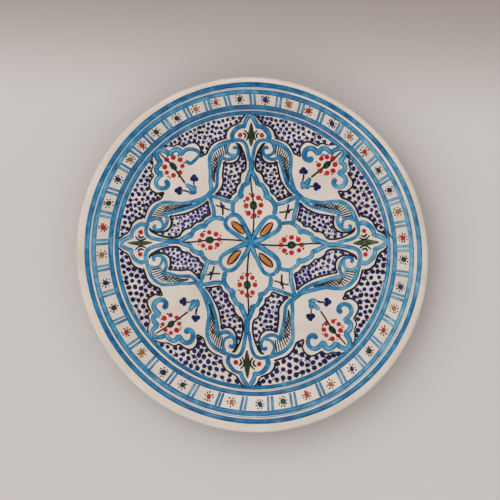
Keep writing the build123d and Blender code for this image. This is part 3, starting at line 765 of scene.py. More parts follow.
def settle(piece: bpy.types.Object, finish: Any, *nodes: str) -> bpy.types.Object:
    """Fix a finished piece to the plate in place of its CAD nodes.

    Args:
        piece: the finished piece.
        finish: its finish, which knows its slot; not used.
        nodes: the CAD nodes that it stands for.

    Returns:
        The piece.
    """
    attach(piece, "root")
    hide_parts(*nodes)
    LOG.info("%s: %d faces", piece.name, len(piece.data.polygons))
    return piece


# ------------------------------------------------------------------------------------ the brush
class Painter:
    """What the brush and the dabber share: the finishes, the face they paint and their workshop."""

    def __init__(self, palette: Palette, face: bpy.types.Object) -> None:
        """Take up the work.

        Args:
            palette: the shared finishes.
            face: the glazed face that the films lie on.
        """
        self.palette = palette
        self.face = face
        self.shop = self.workshop()

    def workshop(self) -> Workshop:
        """Build the tree, which each painter does in its own way."""
        raise NotImplementedError

    def lay(self, name: str, host: bpy.types.Mesh, facts: dict[str, list[float]], finish: Pigment,
            nodes: Sequence[str], sizes: dict[str, Any]) -> None:
        """Lay one piece on the face and let it stand for its CAD nodes.

        Args:
            name: the piece's name.
            host: its guide lines or points.
            facts: what the tree reads at each guide point, by attribute name.
            finish: the pigment.
            nodes: the CAD nodes that it stands for.
            sizes: inputs of the tree that differ from its defaults.
        """
        for key, row in facts.items():
            host.attributes.new(key, "FLOAT", "POINT").data.foreach_set("value", row)
        piece = self.shop.make(name, host, Face=self.face, Material=self.palette.of(finish), **sizes)
        settle(piece, finish, *nodes)


@dataclass
class Line:
    """One stroke of the brush, in millimetres on the plate."""

    points: list[Point]
    widths: list[float]
    loads: list[float]


class Brush(Painter):
    """Lays strokes of pigment on the glazed face."""

    OVERLAP = 0.000012      # by how much a later stroke lies over an earlier one, in metres
    LAYERS = 5              # strokes lie in so many layers in turn
    BLUNT = 1.03            # 1 for ends that run out to nothing, more for ends that keep some width

    def workshop(self) -> Workshop:
        """Build the tree that drags a flattened ring along each stroke."""
        tree, given, identifiers = workshop_tree("Brushed pigment", {
            **FILM_SOCKETS,
            "Step": ("Float", 0.0009),
            "Grain": ("Float", 420.0),
        })
        lines = add(tree, "GeometryNodeMeshToCurve", {"Mesh": given.outputs["Geometry"]})
        flowing = add(tree, "GeometryNodeCurveSplineType", {"Curve": lines.outputs[0]},
                      spline_type="CATMULL_ROM")
        stepped = add(tree, "GeometryNodeResampleCurve", {
            "Curve": flowing.outputs[0], "Length": given.outputs["Step"]}, mode="LENGTH")
        spot = add(tree, "GeometryNodeSplineParameter")
        measured = add(tree, "GeometryNodeStoreNamedAttribute", {
            "Geometry": stepped.outputs[0], "Name": "along", "Value": spot.outputs["Length"]},
            data_type="FLOAT", domain="POINT")
        level = add(tree, "GeometryNodeSetCurveNormal", {"Curve": measured.outputs[0]}, mode="Z_UP")
        hair = self.profile(tree)
        film = add(tree, "GeometryNodeCurveToMesh", {
            "Curve": level.outputs[0], "Profile Curve": hair, "Scale": self.half_width(tree, given, spot),
            "Fill Caps": True})
        lay_on_face(tree, given, film.outputs[0])
        return Workshop(tree, identifiers)

    @staticmethod
    def profile(tree: bpy.types.NodeTree) -> bpy.types.NodeSocket:
        """Make the flattened ring that the brush drags along a stroke.

        Args:
            tree: the brush's tree.

        Returns:
            A closed curve that knows how far across and how high each point was.
        """
        ring = add(tree, "GeometryNodeCurvePrimitiveCircle", {"Resolution": 8, "Radius": 1.0})
        place = add(tree, "GeometryNodeInputPosition")
        axes = add(tree, "ShaderNodeSeparateXYZ", {0: place.outputs[0]})
        upward = add(tree, "ShaderNodeMath", {0: axes.outputs["Y"], 1: -1.0}, operation="MULTIPLY")
        return press_flat(tree, ring.outputs[0], {"across": axes.outputs["X"], "rise": upward.outputs[0]},
                          (1, 0, 1))

    @staticmethod
    def half_width(tree: bpy.types.NodeTree, given: bpy.types.Node,
                   spot: bpy.types.Node) -> bpy.types.NodeSocket:
        """Work out the half width along a stroke: ragged sides and rounded ends.

        Args:
            tree: the brush's tree.
            given: its group input.
            spot: the node that gives the length run so far.

        Returns:
            The half width, in metres.
        """
        wide = add(tree, "GeometryNodeInputNamedAttribute", {"Name": "half_width"}, data_type="FLOAT")
        whole = add(tree, "GeometryNodeSplineLength")
        left = add(tree, "ShaderNodeMath", {0: whole.outputs["Length"], 1: spot.outputs["Length"]},
                   operation="SUBTRACT")
        near = add(tree, "ShaderNodeMath", {0: spot.outputs["Length"], 1: left.outputs[0]},
                   operation="MINIMUM")
        share = add(tree, "ShaderNodeMath", {0: near.outputs[0], 1: wide.outputs["Attribute"]},
                    operation="DIVIDE", use_clamp=True)
        rest = add(tree, "ShaderNodeMath", {0: 1.0, 1: share.outputs[0]}, operation="SUBTRACT")
        square = add(tree, "ShaderNodeMath", {0: rest.outputs[0], 1: 2.0}, operation="POWER")
        inner = add(tree, "ShaderNodeMath", {0: Brush.BLUNT, 1: square.outputs[0]},
                    operation="SUBTRACT")
        cap = add(tree, "ShaderNodeMath", {0: inner.outputs[0], 1: 0.5}, operation="POWER", use_clamp=True)
        place = add(tree, "GeometryNodeInputPosition")
        noise = add(tree, "ShaderNodeTexNoise", {
            "Vector": place.outputs[0], "Scale": given.outputs["Grain"], "Detail": 1.0},
            noise_dimensions="4D")
        lean = add(tree, "ShaderNodeMath", {0: noise.outputs["Fac"], 1: -0.5}, operation="ADD")
        ragged = add(tree, "ShaderNodeMath", {0: lean.outputs[0], 1: given.outputs["Ragged edge"], 2: 1.0},
                     operation="MULTIPLY_ADD")
        capped = add(tree, "ShaderNodeMath", {0: wide.outputs["Attribute"], 1: cap.outputs[0]},
                     operation="MULTIPLY")
        return add(tree, "ShaderNodeMath", {0: capped.outputs[0], 1: ragged.outputs[0]},
                   operation="MULTIPLY").outputs[0]

    def paint(self, name: str, lines: Sequence[Line], finish: Pigment, *nodes: str, **sizes: Any) -> None:
        """Paint strokes as one piece.

        Args:
            name: the piece's name.
            lines: the strokes.
            finish: the pigment.
            nodes: the CAD nodes that it stands for.
            sizes: inputs of the tree that differ from its defaults.
        """
        places: list[tuple[float, float, float]] = []
        edges: list[tuple[int, int]] = []
        facts: dict[str, list[float]] = {"half_width": [], "load": [], "lift": []}
        for number, line in enumerate(lines):
            start, count = len(places), len(line.points)
            places += [(x * MM, y * MM, 0.0) for x, y in line.points]
            edges += [(start + i, start + i + 1) for i in range(count - 1)]
            facts["half_width"] += [w * MM / 2 for w in line.widths]
            facts["load"] += line.loads
            low = self.OVERLAP * (number % self.LAYERS)
            facts["lift"] += spread((low, low + self.OVERLAP), count)
        host = bpy.data.meshes.new(name + "_lines")
        host.from_pydata(places, edges, [])
        self.lay(name, host, facts, finish, nodes, sizes)


def spread(value: float | Sequence[float], count: int) -> list[float]:
    """Spread a value, or a few values, evenly over a number of points.

    Args:
        value: one value, or values from the first point to the last.
        count: number of points.

    Returns:
        One value for each point.
    """
    if isinstance(value, (int, float)):
        return [float(value)] * count
    marks = np.linspace(0, 1, len(value))
    return [float(v) for v in np.interp(np.linspace(0, 1, count), marks, value)]


@dataclass
class Dab:
    """One touch of the brush tip, round or oval."""

    place: Point
    radius: float
    stretch: float
    bearing: float
    load: float


class Dabber(Painter):
    """Touches dots of pigment onto the glazed face."""

    SPACING = 0.003         # how far apart the dots lie in the streaks' pattern, in metres
    RAGGED_GAIN = 4.0       # the noise leans by about a quarter either way, and this makes it a whole

    def workshop(self) -> Workshop:
        """Build the tree that puts a flattened ball at each place."""
        tree, given, identifiers = workshop_tree("Dabbed pigment", {
            **FILM_SOCKETS,
            "Segments": ("Int", 12),
            "Rings": ("Int", 6),
            "Grain": ("Float", 700.0),
        })
        ball = add(tree, "GeometryNodeMeshUVSphere", {"Segments": given.outputs["Segments"],
                                                      "Rings": given.outputs["Rings"], "Radius": 1.0})
        place = add(tree, "GeometryNodeInputPosition")
        axes = add(tree, "ShaderNodeSeparateXYZ", {0: place.outputs[0]})
        plan = add(tree, "ShaderNodeVectorMath", {0: place.outputs[0], 1: (1, 1, 0)},
                   operation="MULTIPLY")
        reach = add(tree, "ShaderNodeVectorMath", {0: plan.outputs[0]}, operation="LENGTH")
        flat = press_flat(tree, ball.outputs["Mesh"], {
            "across": reach.outputs["Value"], "rise": axes.outputs["Z"]}, (1, 1, 0))
        size, stretch, turn = (
            add(tree, "GeometryNodeInputNamedAttribute", {"Name": name}, data_type="FLOAT")
            for name in ("size", "stretch", "turn"))
        long = add(tree, "ShaderNodeMath", {0: size.outputs["Attribute"], 1: stretch.outputs["Attribute"]},
                   operation="MULTIPLY")
        scale = add(tree, "ShaderNodeCombineXYZ", {"X": size.outputs["Attribute"], "Y": long.outputs[0],
                                                   "Z": 1.0})
        lie = add(tree, "ShaderNodeCombineXYZ", {"Z": turn.outputs["Attribute"]})
        spots = add(tree, "GeometryNodeInstanceOnPoints", {
            "Points": given.outputs["Geometry"], "Instance": flat,
            "Rotation": lie.outputs[0], "Scale": scale.outputs[0]})
        real = add(tree, "GeometryNodeRealizeInstances", {"Geometry": spots.outputs[0]})
        lay_on_face(tree, given, self.ragged(tree, given, real.outputs[0]))
        return Workshop(tree, identifiers)

    @staticmethod
    def ragged(tree: bpy.types.NodeTree, given: bpy.types.Node,
               shape: bpy.types.NodeSocket) -> bpy.types.NodeSocket:
        """Make the outlines of the dots a little uneven.

        Args:
            tree: the dabber's tree.
            given: its group input.
            shape: the flat dots.

        Returns:
            The uneven dots.
        """
        place = add(tree, "GeometryNodeInputPosition")
        noise = add(tree, "ShaderNodeTexNoise", {
            "Vector": place.outputs[0], "Scale": given.outputs["Grain"], "Detail": 1.0},
            noise_dimensions="4D")
        lean = add(tree, "ShaderNodeVectorMath", {0: noise.outputs["Color"], 1: (0.5, 0.5, 0.5)},
                   operation="SUBTRACT")
        size = add(tree, "GeometryNodeInputNamedAttribute", {"Name": "size"}, data_type="FLOAT")
        reach = add(tree, "ShaderNodeMath", {0: size.outputs["Attribute"], 1: given.outputs["Ragged edge"]},
                    operation="MULTIPLY")
        gained = add(tree, "ShaderNodeMath", {0: reach.outputs[0], 1: Dabber.RAGGED_GAIN},
                     operation="MULTIPLY")
        offset = add(tree, "ShaderNodeVectorMath", {0: lean.outputs[0], "Scale": gained.outputs[0]},
                     operation="SCALE")
        moved = add(tree, "GeometryNodeSetPosition", {"Geometry": shape, "Offset": offset.outputs[0]})
        return moved.outputs[0]

    def touch(self, name: str, dabs: Sequence[Dab], finish: Pigment, *nodes: str, **sizes: Any) -> None:
        """Touch dots as one piece.

        Args:
            name: the piece's name.
            dabs: the dots.
            finish: the pigment.
            nodes: the CAD nodes that it stands for.
            sizes: inputs of the tree that differ from its defaults.
        """
        host = bpy.data.meshes.new(name + "_points")
        host.from_pydata([(d.place[0] * MM, d.place[1] * MM, 0.0) for d in dabs], [], [])
        self.lay(name, host, {
            "size": [d.radius * MM for d in dabs],
            "stretch": [d.stretch for d in dabs],
            "turn": [-math.radians(d.bearing) for d in dabs],
            "load": [d.load for d in dabs],
            "along": [self.SPACING * i for i in range(len(dabs))],
        }, finish, nodes, sizes)


# ------------------------------------------------------------------------------------ the thrown plate
@dataclass
class ThrownPlate:
    """The clay body and its three coats of glaze."""

    section: Section
    glaze: TinGlaze = TinGlaze()
    clay: FiredClay = FiredClay()
    coarse: float = 5.0             # between points of a line that lies inside the plate
    hidden_segments: int = 160      # round a piece that is mostly out of sight

    def build(self, wheel: Wheel) -> bpy.types.Object:
        """Turn the body and the coats.

        Args:
            wheel: the wheel.

        Returns:
            The face glaze, which the painting lies on.
        """
        face = wheel.turn("face_glaze_coat", self.face_coat(), False, self.glaze, "face_glaze")
        wheel.turn("back_glaze_coat", self.back_coat(), True, self.glaze, "back_glaze")
        wheel.turn("foot_well_coat", self.foot_well_coat(), False, self.glaze, "foot_well_glaze",
                   Segments=self.hidden_segments)
        wheel.turn("turned_clay_body", self.body(), False, self.clay, "clay_body",
                   Segments=self.hidden_segments, Ring_depth=0.0)
        return face

    def face_coat(self) -> list[Point]:
        """Section of the coat on the face, out to the edge of the lip."""
        s = self.section
        outside = s.face(0.0, s.step)
        inside = s.face(s.glaze, self.coarse)
        return outside + inside[::-1]

    def back_coat(self) -> list[Point]:
        """Section of the coat on the back and the outer side of the foot."""
        s = self.section
        under = s.floor_top - s.wall
        outside = s.back(0.0, s.step)
        foot = [(s.foot_side(1, 0, h), h) for h in (under, under / 2, s.bare)]
        turned = [(s.foot_side(1, s.glaze, h), h) for h in (s.bare, under + s.glaze)]
        inside = s.back(s.glaze, self.coarse)
        return outside + s.run(outside[-1], foot[0], s.step)[1:] + foot + turned + inside[::-1]

    def foot_well_coat(self) -> list[Point]:
        """Section of the coat inside the foot, from the axis out and back to the axis."""
        s = self.section
        under = s.floor_top - s.wall
        corner = s.foot_side(-1, 0, under)
        lower = s.run((0.0, under), (corner, under), 2 * s.step)
        side = [(s.foot_side(-1, 0, h), h) for h in (under, under / 2, s.bare)]
        hidden = [(s.foot_side(-1, s.glaze, s.bare), s.bare),
                  (s.foot_side(-1, s.glaze, under + s.glaze), under + s.glaze), (0.0, under + s.glaze)]
        return (lower + side + hidden)[::-1]

    def body(self) -> list[Point]:
        """Section of the clay inside the coats, from the axis round to the axis."""
        s = self.section
        under = s.floor_top - s.wall + s.glaze
        round_off = s.foot_edge
        outer, inner = s.foot_side(1, 0, 0), s.foot_side(-1, 0, 0)
        foot = [
            (s.foot_side(1, s.glaze, under), under),
            (s.foot_side(1, s.glaze, s.bare), s.bare),
            (s.foot_side(1, 0, s.bare), s.bare),
            (outer, round_off),
            *s.arc((outer - round_off, round_off), round_off, 0, -90),
            *s.run((outer - round_off, 0.0), (inner + round_off, 0.0), s.step)[1:],
            *s.arc((inner + round_off, round_off), round_off, -90, -180),
            (s.foot_side(-1, 0, s.bare), s.bare),
            (s.foot_side(-1, s.glaze, s.bare), s.bare),
            (s.foot_side(-1, s.glaze, under), under),
        ]
        face = s.face(s.glaze, self.coarse)
        back = s.back(s.glaze, self.coarse)
        return face + back[1:] + foot + [(0.0, under)]


# ------------------------------------------------------------------------------------ the painting
@dataclass(frozen=True)
class Mark:
    """One stroke of the drawn eighth: the points it passes through, its widths and its load."""

    points: tuple
    width: Any
    load: Any = 0.5


@dataclass
class Kit:
    """What every part of the painting needs: the layout, the brush, the dabber and a steady hand."""

    layout: Layout
    brush: Brush
    dabber: Dabber
    hand: random.Random = field(default_factory=lambda: random.Random(39))
    unsteady: float = 0.12          # share by which a stroke comes out wider or narrower
    fresh: float = 0.08             # by how much the load differs from stroke to stroke
    dab_load: float = 0.12          # and from dab to dab
    full_reach: float = 110         # where the paint and its painted sheen differ most from side to side, in millimetres
    upright_gain_and_sheen: float = 0.15      # how much fuller it is above and below than at the sides, partly thinner paint and partly painted sheen at the sides
    left_gain: float = 0.06         # and to the left than to the right
    thinning: float = 0.08          # how much thinner it is all over

    def wet_and_sheen(self, point: Point, load: float) -> float:
        """Give the load of the brush at a place, which is less to the sides of the plate: partly thinner
        paint, partly a painted sheen that pales the colour there.
        """
        bearing = math.radians(heading((0, 0), point))
        reach = min(1.0, math.hypot(*point) / self.full_reach)
        return load - self.thinning + reach * (self.upright_gain_and_sheen * math.cos(2 * bearing)
                                               - self.left_gain * math.sin(bearing))

    def stroke(self, points: Iterable[Point], width: Any, load: Any) -> Line:
        """Make a stroke with the hand's own unevenness.

        Args:
            points: the points that the stroke passes through.
            width: its width, or its widths from start to end.
            load: its load, or its loads from start to end.

        Returns:
            The stroke.
        """
        points = list(points)
        count = len(points)
        swell = 1 + self.hand.uniform(-self.unsteady, self.unsteady)
        fresh = self.hand.uniform(-self.fresh, self.fresh)
        widths = [w * swell * (1 + self.hand.uniform(-self.unsteady, self.unsteady) / 2)
                  for w in spread(width, count)]
        loads = [self.wet_and_sheen(p, v + fresh) for p, v in zip(points, spread(load, count))]
        return Line(points, widths, loads)

    def eighths(self, marks: Iterable[Mark], skip: Iterable = ()) -> list[Line]:
        """Lay marks into all eight eighths.

        Args:
            marks: marks of the drawn eighth.
            skip: sides, as quarter and mirrored, that are left out.

        Returns:
            The strokes.
        """
        return [self.stroke([self.layout.lay(p, *side) for p in mark.points], mark.width, mark.load)
                for side in self.layout.sides() if side not in skip for mark in marks]

    def quarters(self, marks: Iterable[Mark]) -> list[Line]:
        """Lay marks into the four quarters, on the clockwise side of each axis."""
        return self.eighths(marks, [side for side in self.layout.sides() if side[1]])

    def dots(self, places: Iterable[Point], radius: float, load: float = 0.6, stretch: float = 1.08,
             spill: float = 0.1) -> list[Dab]:
        """Make dots with the hand's own unevenness.

        Args:
            places: middles of the dots.
            radius: their radius.
            load: their load.
            stretch: how much longer than wide they are at most.
            spill: share by which the radius comes out larger or smaller.

        Returns:
            The dots.
        """
        return [Dab((x + self.hand.uniform(-spill, spill) * radius,
                     y + self.hand.uniform(-spill, spill) * radius),
                    radius * (1 + self.hand.uniform(-spill, spill)), self.hand.uniform(1.0, stretch),
                    self.hand.uniform(0, 180), load + self.hand.uniform(-self.dab_load, self.dab_load))
                for x, y in places]


@dataclass
class Band:
    """One banded line, laid while the plate turns on the wheel, with a join where it closes."""

    node: str
    centre: Point
    radius: float
    width: float
    join: float
    load: float = 0.5
    stray_hairs: float = 0.0        # how far outside the band a few hairs of the brush ran, 0 for none
    hair_sweeps: tuple = ((20, 130), (190, 110))    # degrees after the join, and degrees run
    hair_widths: tuple = (0.2, 0.7, 0.9, 0.5, 0.2)
    hair_load: float = 0.12
    hair_steps: int = 40
    steps: int = 150
    overlap: float = 4.0            # degrees by which the end runs over the start
    wobble: float = 0.25
    swell: float = 0.1              # how much the waves change the width and the load

    def build(self, kit: Kit) -> None:
        """Lay the band."""
        points, widths, loads = [], [], []
        waves = [(kit.hand.uniform(0, 360), kit.hand.uniform(0.4, 1.0)) for _ in range(4)]
        for step in range(self.steps + 1):
            bearing = self.join + (360 + self.overlap) * step / self.steps
            sway = sum(size * math.sin(math.radians((k + 2) * bearing + phase))
                       for k, (phase, size) in enumerate(waves)) / 4
            point = around(self.centre, self.radius + self.wobble * sway, bearing)
            points.append(point)
            widths.append(self.width * (1 + self.swell * sway + kit.hand.uniform(-0.03, 0.03)))
            loads.append(kit.wet_and_sheen(point, self.load) + self.swell * sway + kit.hand.uniform(-0.04, 0.04))
        lines = [Line(points, widths, loads)]
        for after, sweep in self.hair_sweeps if self.stray_hairs else ():
            hair = [around(self.centre, self.radius + self.stray_hairs,
                           self.join + after + sweep * k / self.hair_steps)
                    for k in range(self.hair_steps + 1)]
            lines.append(kit.stroke(hair, self.hair_widths, self.hair_load))
        kit.brush.paint(self.node + "_line", lines, LIGHT_BLUE, self.node, Ragged_edge=0.06)


@dataclass
class BandedRim:
    """The four banded lines."""

    bands: tuple = (
        Band("outer_band", (1.4, 1.7), 141.7, 3.9, 20, 0.68),
        Band("second_band", (0.8, 2.0), 135.8, 3.8, 75, 0.5, 2.9),
        Band("third_band", (0.2, 3.3), 122.2, 3.7, 330, 0.7),
        Band("inner_band", (0.1, 3.6), 117.0, 3.4, 250, 0.64, 2.6),
    )

    def build(self, kit: Kit) -> None:
        """Lay every band."""
        for band in self.bands:
            band.build(kit)


@dataclass
class Frieze:
    """The row of florets in four colours between pairs of bars."""

    centre: Point = (0.5, 2.6)
    inner: float = 123.4
    outer: float = 134.8
    middle: float = 129.2
    bar_width: float = 2.05
    half_gap: float = 1.75
    floret: float = 2.05
    speck: float = 0.58
    speck_ring: float = 3.4
    speck_counts: tuple = (7, 8, 8, 9)
    lean: float = 0.5               # degrees by which a pair of bars may slant
    florets: tuple = (
        6.2, 15, 22.7, 32.5, 40.3, 48.2, 56.7, 65, 73.3, 83, 91, 101, 109.5, 118.6, 128, 137.5, 147.5,
        157.5, 167, 176, 187, 196, 207, 216, 227, 237, 247.5, 257.5, 268.5, 279, 288.5, 298.5, 307.5,
        314.5, 322, 331.5, 339.5, 347.5, 356.5,
    )
    pairs: tuple = (
        1.5, 11, 19.8, 27.8, 36, 44.5, 53, 61, 69.3, 78, 87, 96.2, 105, 114, 123.5, 133, 142.3, 152, 163,
        172, 182, 191.5, 202, 212, 221.5, 231.5, 242, 253.5, 263.5, 273.5, 284, 293.5, 303.5, 311, 318,
        327, 336, 344, 352,
    )
    colours: tuple = (("navy", NAVY), ("ochre", OCHRE), ("red", RED), ("green", GREEN))
    left_out: int = 3               # the cell that would be green, where the painter went on to navy

    def turn(self, cell: int) -> int:
        """Give the place of a floret's colour among the colours, which take turns."""
        return (cell + (cell >= self.left_out)) % len(self.colours)

    def bars(self, kit: Kit) -> list[Line]:
        """Make a pair of bars between every two florets."""
        lines = []
        for bearing in self.pairs:
            lean = kit.hand.uniform(-self.lean, self.lean)
            for side in (-1, 1):
                gap = math.degrees(self.half_gap / self.middle) * kit.hand.uniform(0.85, 1.15)
                ends = [around(self.centre, reach, bearing + side * gap + share * lean)
                        for reach, share in ((self.inner, 0), (self.middle, 0.5), (self.outer, 1))]
                load = kit.hand.uniform(0.3, 0.6)
                lines.append(kit.stroke(ends, self.bar_width, (load + 0.15, load, load + 0.05)))
        return lines

    def build(self, kit: Kit) -> None:
        """Paint the bars, the florets and the specks round them."""
        kit.brush.paint("frieze_bar_lines", self.bars(kit), LIGHT_BLUE, "frieze_bars")
        places = [around(self.centre, self.middle, bearing) for bearing in self.florets]
        for number, (word, finish) in enumerate(self.colours):
            own = [p for cell, p in enumerate(places) if self.turn(cell) == number]
            node = "frieze_florets_" + word
            kit.dabber.touch(node + "_dabs", kit.dots(own, self.floret, 0.8, 1.25), finish, node,
                             Segments=16, Ragged_edge=0.16)
        specks = []
        for place in places:
            count = kit.hand.choice(self.speck_counts)
            start = kit.hand.uniform(0, 360)
            for index in range(count):
                bearing = start + 360 * (index + kit.hand.uniform(-0.2, 0.2)) / count
                spot = around(place, self.speck_ring * kit.hand.uniform(0.88, 1.1), bearing)
                specks.append(Dab(spot, self.speck * kit.hand.uniform(0.85, 1.2),
                                  kit.hand.uniform(1.0, 1.4), bearing, 0.8))
        kit.dabber.touch("frieze_speck_dabs", specks, BLACK, "frieze_specks", Segments=8, Rings=4)


@dataclass
class PetalStar:
    """The four cusped petals round the heart, with their florets, and the almond leaves between."""

    outline: tuple = (
        Mark(((0.6, 73), (4.6, 66), (6.2, 62.8), (7, 59.4)), (4.2, 4.2, 5.0)),
        Mark(((6.4, 60.2), (9.8, 60.4), (11.8, 57.6), (13.4, 54.8), (14.2, 52), (13.4, 48.2)),
             (3.6, 3.8, 5.2)),
        Mark(((13, 49), (16.2, 49.6), (19, 46.8), (21, 44), (21.6, 40.8), (21.2, 37.6), (20.4, 34.8)),
             (3.8, 3.5, 3.6)),
    )
    leaf: tuple = (
        Mark(((1.6, 13.5), (4.2, 18.8), (7, 22.8), (9.8, 27.2), (13, 31.2), (16.2, 33.2), (19.8, 33.6),
              (24.3, 31.5)), (5.2, 4.2, 3.7, 3.6, 3.7)),
    )
    vein: tuple = (
        Mark(((2.2, 17), (3, 25), (3.3, 35), (3, 43), (2, 52), (1, 60), (0.3, 69.5)), 1.3, 0.8),
    )
    almond: tuple = ((8.4, 17.6), (11.2, 19.4), (14.2, 22.6), (17, 26), (19.4, 28.6))
    almond_half: float = 2.7
    almond_widths: tuple = (1.0, 4.0, 4.9, 4.0, 1.0)
    almond_bulge: tuple = (0.0, 0.78, 1.0, 0.8, 0.0)    # of its outline, as shares of the half width
    ring: Point = (6.5, 8.7)
    ring_dots: int = 8
    dot: float = 2.1
    eye: Point = (3.1, 3.8)
    star: float = 6.2
    speck: float = 0.62
    speck_reach: float = 1.24       # of the ring's own reach
    speck_turn: float = 0.35        # radians to one side or the other of its dot

    def build(self, kit: Kit) -> None:
        """Paint the petals and the leaves."""
        kit.brush.paint("petal_outline_lines", kit.eighths(self.outline), LIGHT_BLUE, "petal_outlines")
        kit.brush.paint("leaf_outline_lines", kit.eighths(self.leaf), LIGHT_BLUE, "leaf_outlines")
        kit.dabber.touch("heart_star_dab", [Dab(kit.layout.heart, self.star, 1.05, 20, 0.5)], LIGHT_BLUE,
                         "heart_star", Segments=40, Rings=8)
        self.almonds(kit)
        kit.brush.paint("petal_vein_lines", kit.quarters(self.vein), BLACK, "petal_veins")
        self.florets(kit)

    def almonds(self, kit: Kit) -> None:
        """Paint the ochre almonds and the line round each."""
        bodies, outlines = [], []
        for quarter in range(4):
            spine = [kit.layout.lay(p, quarter) for p in self.almond]
            bodies.append(kit.stroke(spine, self.almond_widths, 0.5))
            bearing = heading(spine[0], spine[-1])
            for side in (90, -90):
                belly = [around(p, self.almond_half * share, bearing + side)
                         for p, share in zip(spine, self.almond_bulge)]
                outlines.append(kit.stroke(belly, (1.2, 1.5, 1.3), 0.8))
        kit.brush.paint("almond_leaf_touches", bodies, OCHRE, "almond_leaves")
        kit.brush.paint("almond_outline_lines", outlines, BLACK, "almond_outlines")

    def florets(self, kit: Kit) -> None:
        """Paint the ring of dots in each petal and its green eye."""
        dots, eyes, specks = [], [], []
        for quarter in range(4):
            centre = kit.layout.on_axis(quarter, 0)
            axis = heading(centre, kit.layout.on_axis(quarter, 1))
            eyes.append(Dab(centre, self.eye[0], self.eye[1] / self.eye[0], axis, 0.55))
            for index in range(self.ring_dots):
                turn = 2 * math.pi * index / self.ring_dots
                aside = kit.hand.choice((-self.speck_turn, self.speck_turn))
                for row, reach, at in ((dots, 1.0, turn), (specks, self.speck_reach, turn + aside)):
                    across = self.ring[0] * reach * math.sin(at)
                    forth = self.ring[1] * reach * math.cos(at)
                    row.append(around(around(centre, forth, axis), across, axis + 90))
        kit.dabber.touch("petal_eye_dabs", eyes, GREEN, "petal_eyes", Segments=20)
        kit.dabber.touch("petal_floret_dabs", kit.dots(dots, self.dot, 0.6), RED, "petal_florets",
                         Segments=16)
        kit.dabber.touch("petal_speck_dabs", kit.dots(specks, self.speck, 0.8, 1.5, 0.25), BLACK,
                         "petal_specks", Segments=8, Rings=4)


@dataclass
class LatticeSquares:
    """The four small squares between the petals, each with a cross and a stud."""

    sides: tuple = (
        Mark(((21, 44), (24.6, 44.4), (29.4, 45.6), (34.2, 48), (38.2, 50), (41, 52)), 3.2, 0.5),
    )
    cross: tuple = (Mark(((32.8, 44.6), (32.4, 40.8), (31.4, 36.8), (30.2, 31.4)), 1.35, 0.8),)
    stud: Point = (32.6, 38.4)
    stud_radius: float = 1.8

    def build(self, kit: Kit) -> None:
        """Paint the squares."""
        kit.brush.paint("lattice_square_lines", kit.eighths(self.sides), LIGHT_BLUE, "lattice_squares")
        kit.brush.paint("lattice_cross_lines", kit.eighths(self.cross), BLACK, "lattice_crosses")
        places = [kit.layout.lay(self.stud, quarter) for quarter in range(4)]
        kit.dabber.touch("lattice_stud_dabs", kit.dots(places, self.stud_radius, 0.5), NAVY,
                         "lattice_studs")


@dataclass
class Finials:
    """The pointed finial on each axis, with its spindle, arcs and pair of dots."""

    outline: tuple = (
        Mark(((0.6, 118.4), (3, 115.8), (4.6, 113), (5.6, 110.6), (4.8, 108.6)), (3.7, 3.7, 3.3)),
        Mark(((4.4, 108.8), (8.2, 109.2), (11.8, 107.8), (14.6, 105), (16.2, 102.2), (16.2, 100.2),
              (15.4, 97.4)), (3.3, 3.8, 3.8)),
    )
    spindle: tuple = (
        Mark(((1, 92.6), (1, 97), (1, 102), (1, 107), (1, 112.4)), (1.0, 3.4, 4.7, 3.4, 1.0), 0.6),
    )
    arcs: tuple = (
        Mark(((6.4, 106.2), (4, 103.6), (3.3, 101.8), (3.8, 99.4), (5.2, 97.4)), (1.0, 1.6, 1.2), 0.85),
        Mark(((7.8, 103.8), (6, 102.6), (5.5, 101.3), (6.6, 98.9)), (1.3, 1.9, 1.0), 0.85),
    )
    dot: Point = (9.8, 101.8)
    dot_radius: float = 2.0

    def build(self, kit: Kit) -> None:
        """Paint the finials."""
        kit.brush.paint("axis_finial_lines", kit.eighths(self.outline), LIGHT_BLUE, "axis_finials")
        kit.brush.paint("spindle_touches", kit.quarters(self.spindle), GREEN, "finial_spindles")
        kit.brush.paint("spindle_arc_lines", kit.eighths(self.arcs), BLACK, "spindle_arcs")
        places = [kit.layout.lay(self.dot, *side) for side in kit.layout.sides()]
        kit.dabber.touch("finial_dot_dabs", kit.dots(places, self.dot_radius), RED, "finial_dots",
                         Segments=16)


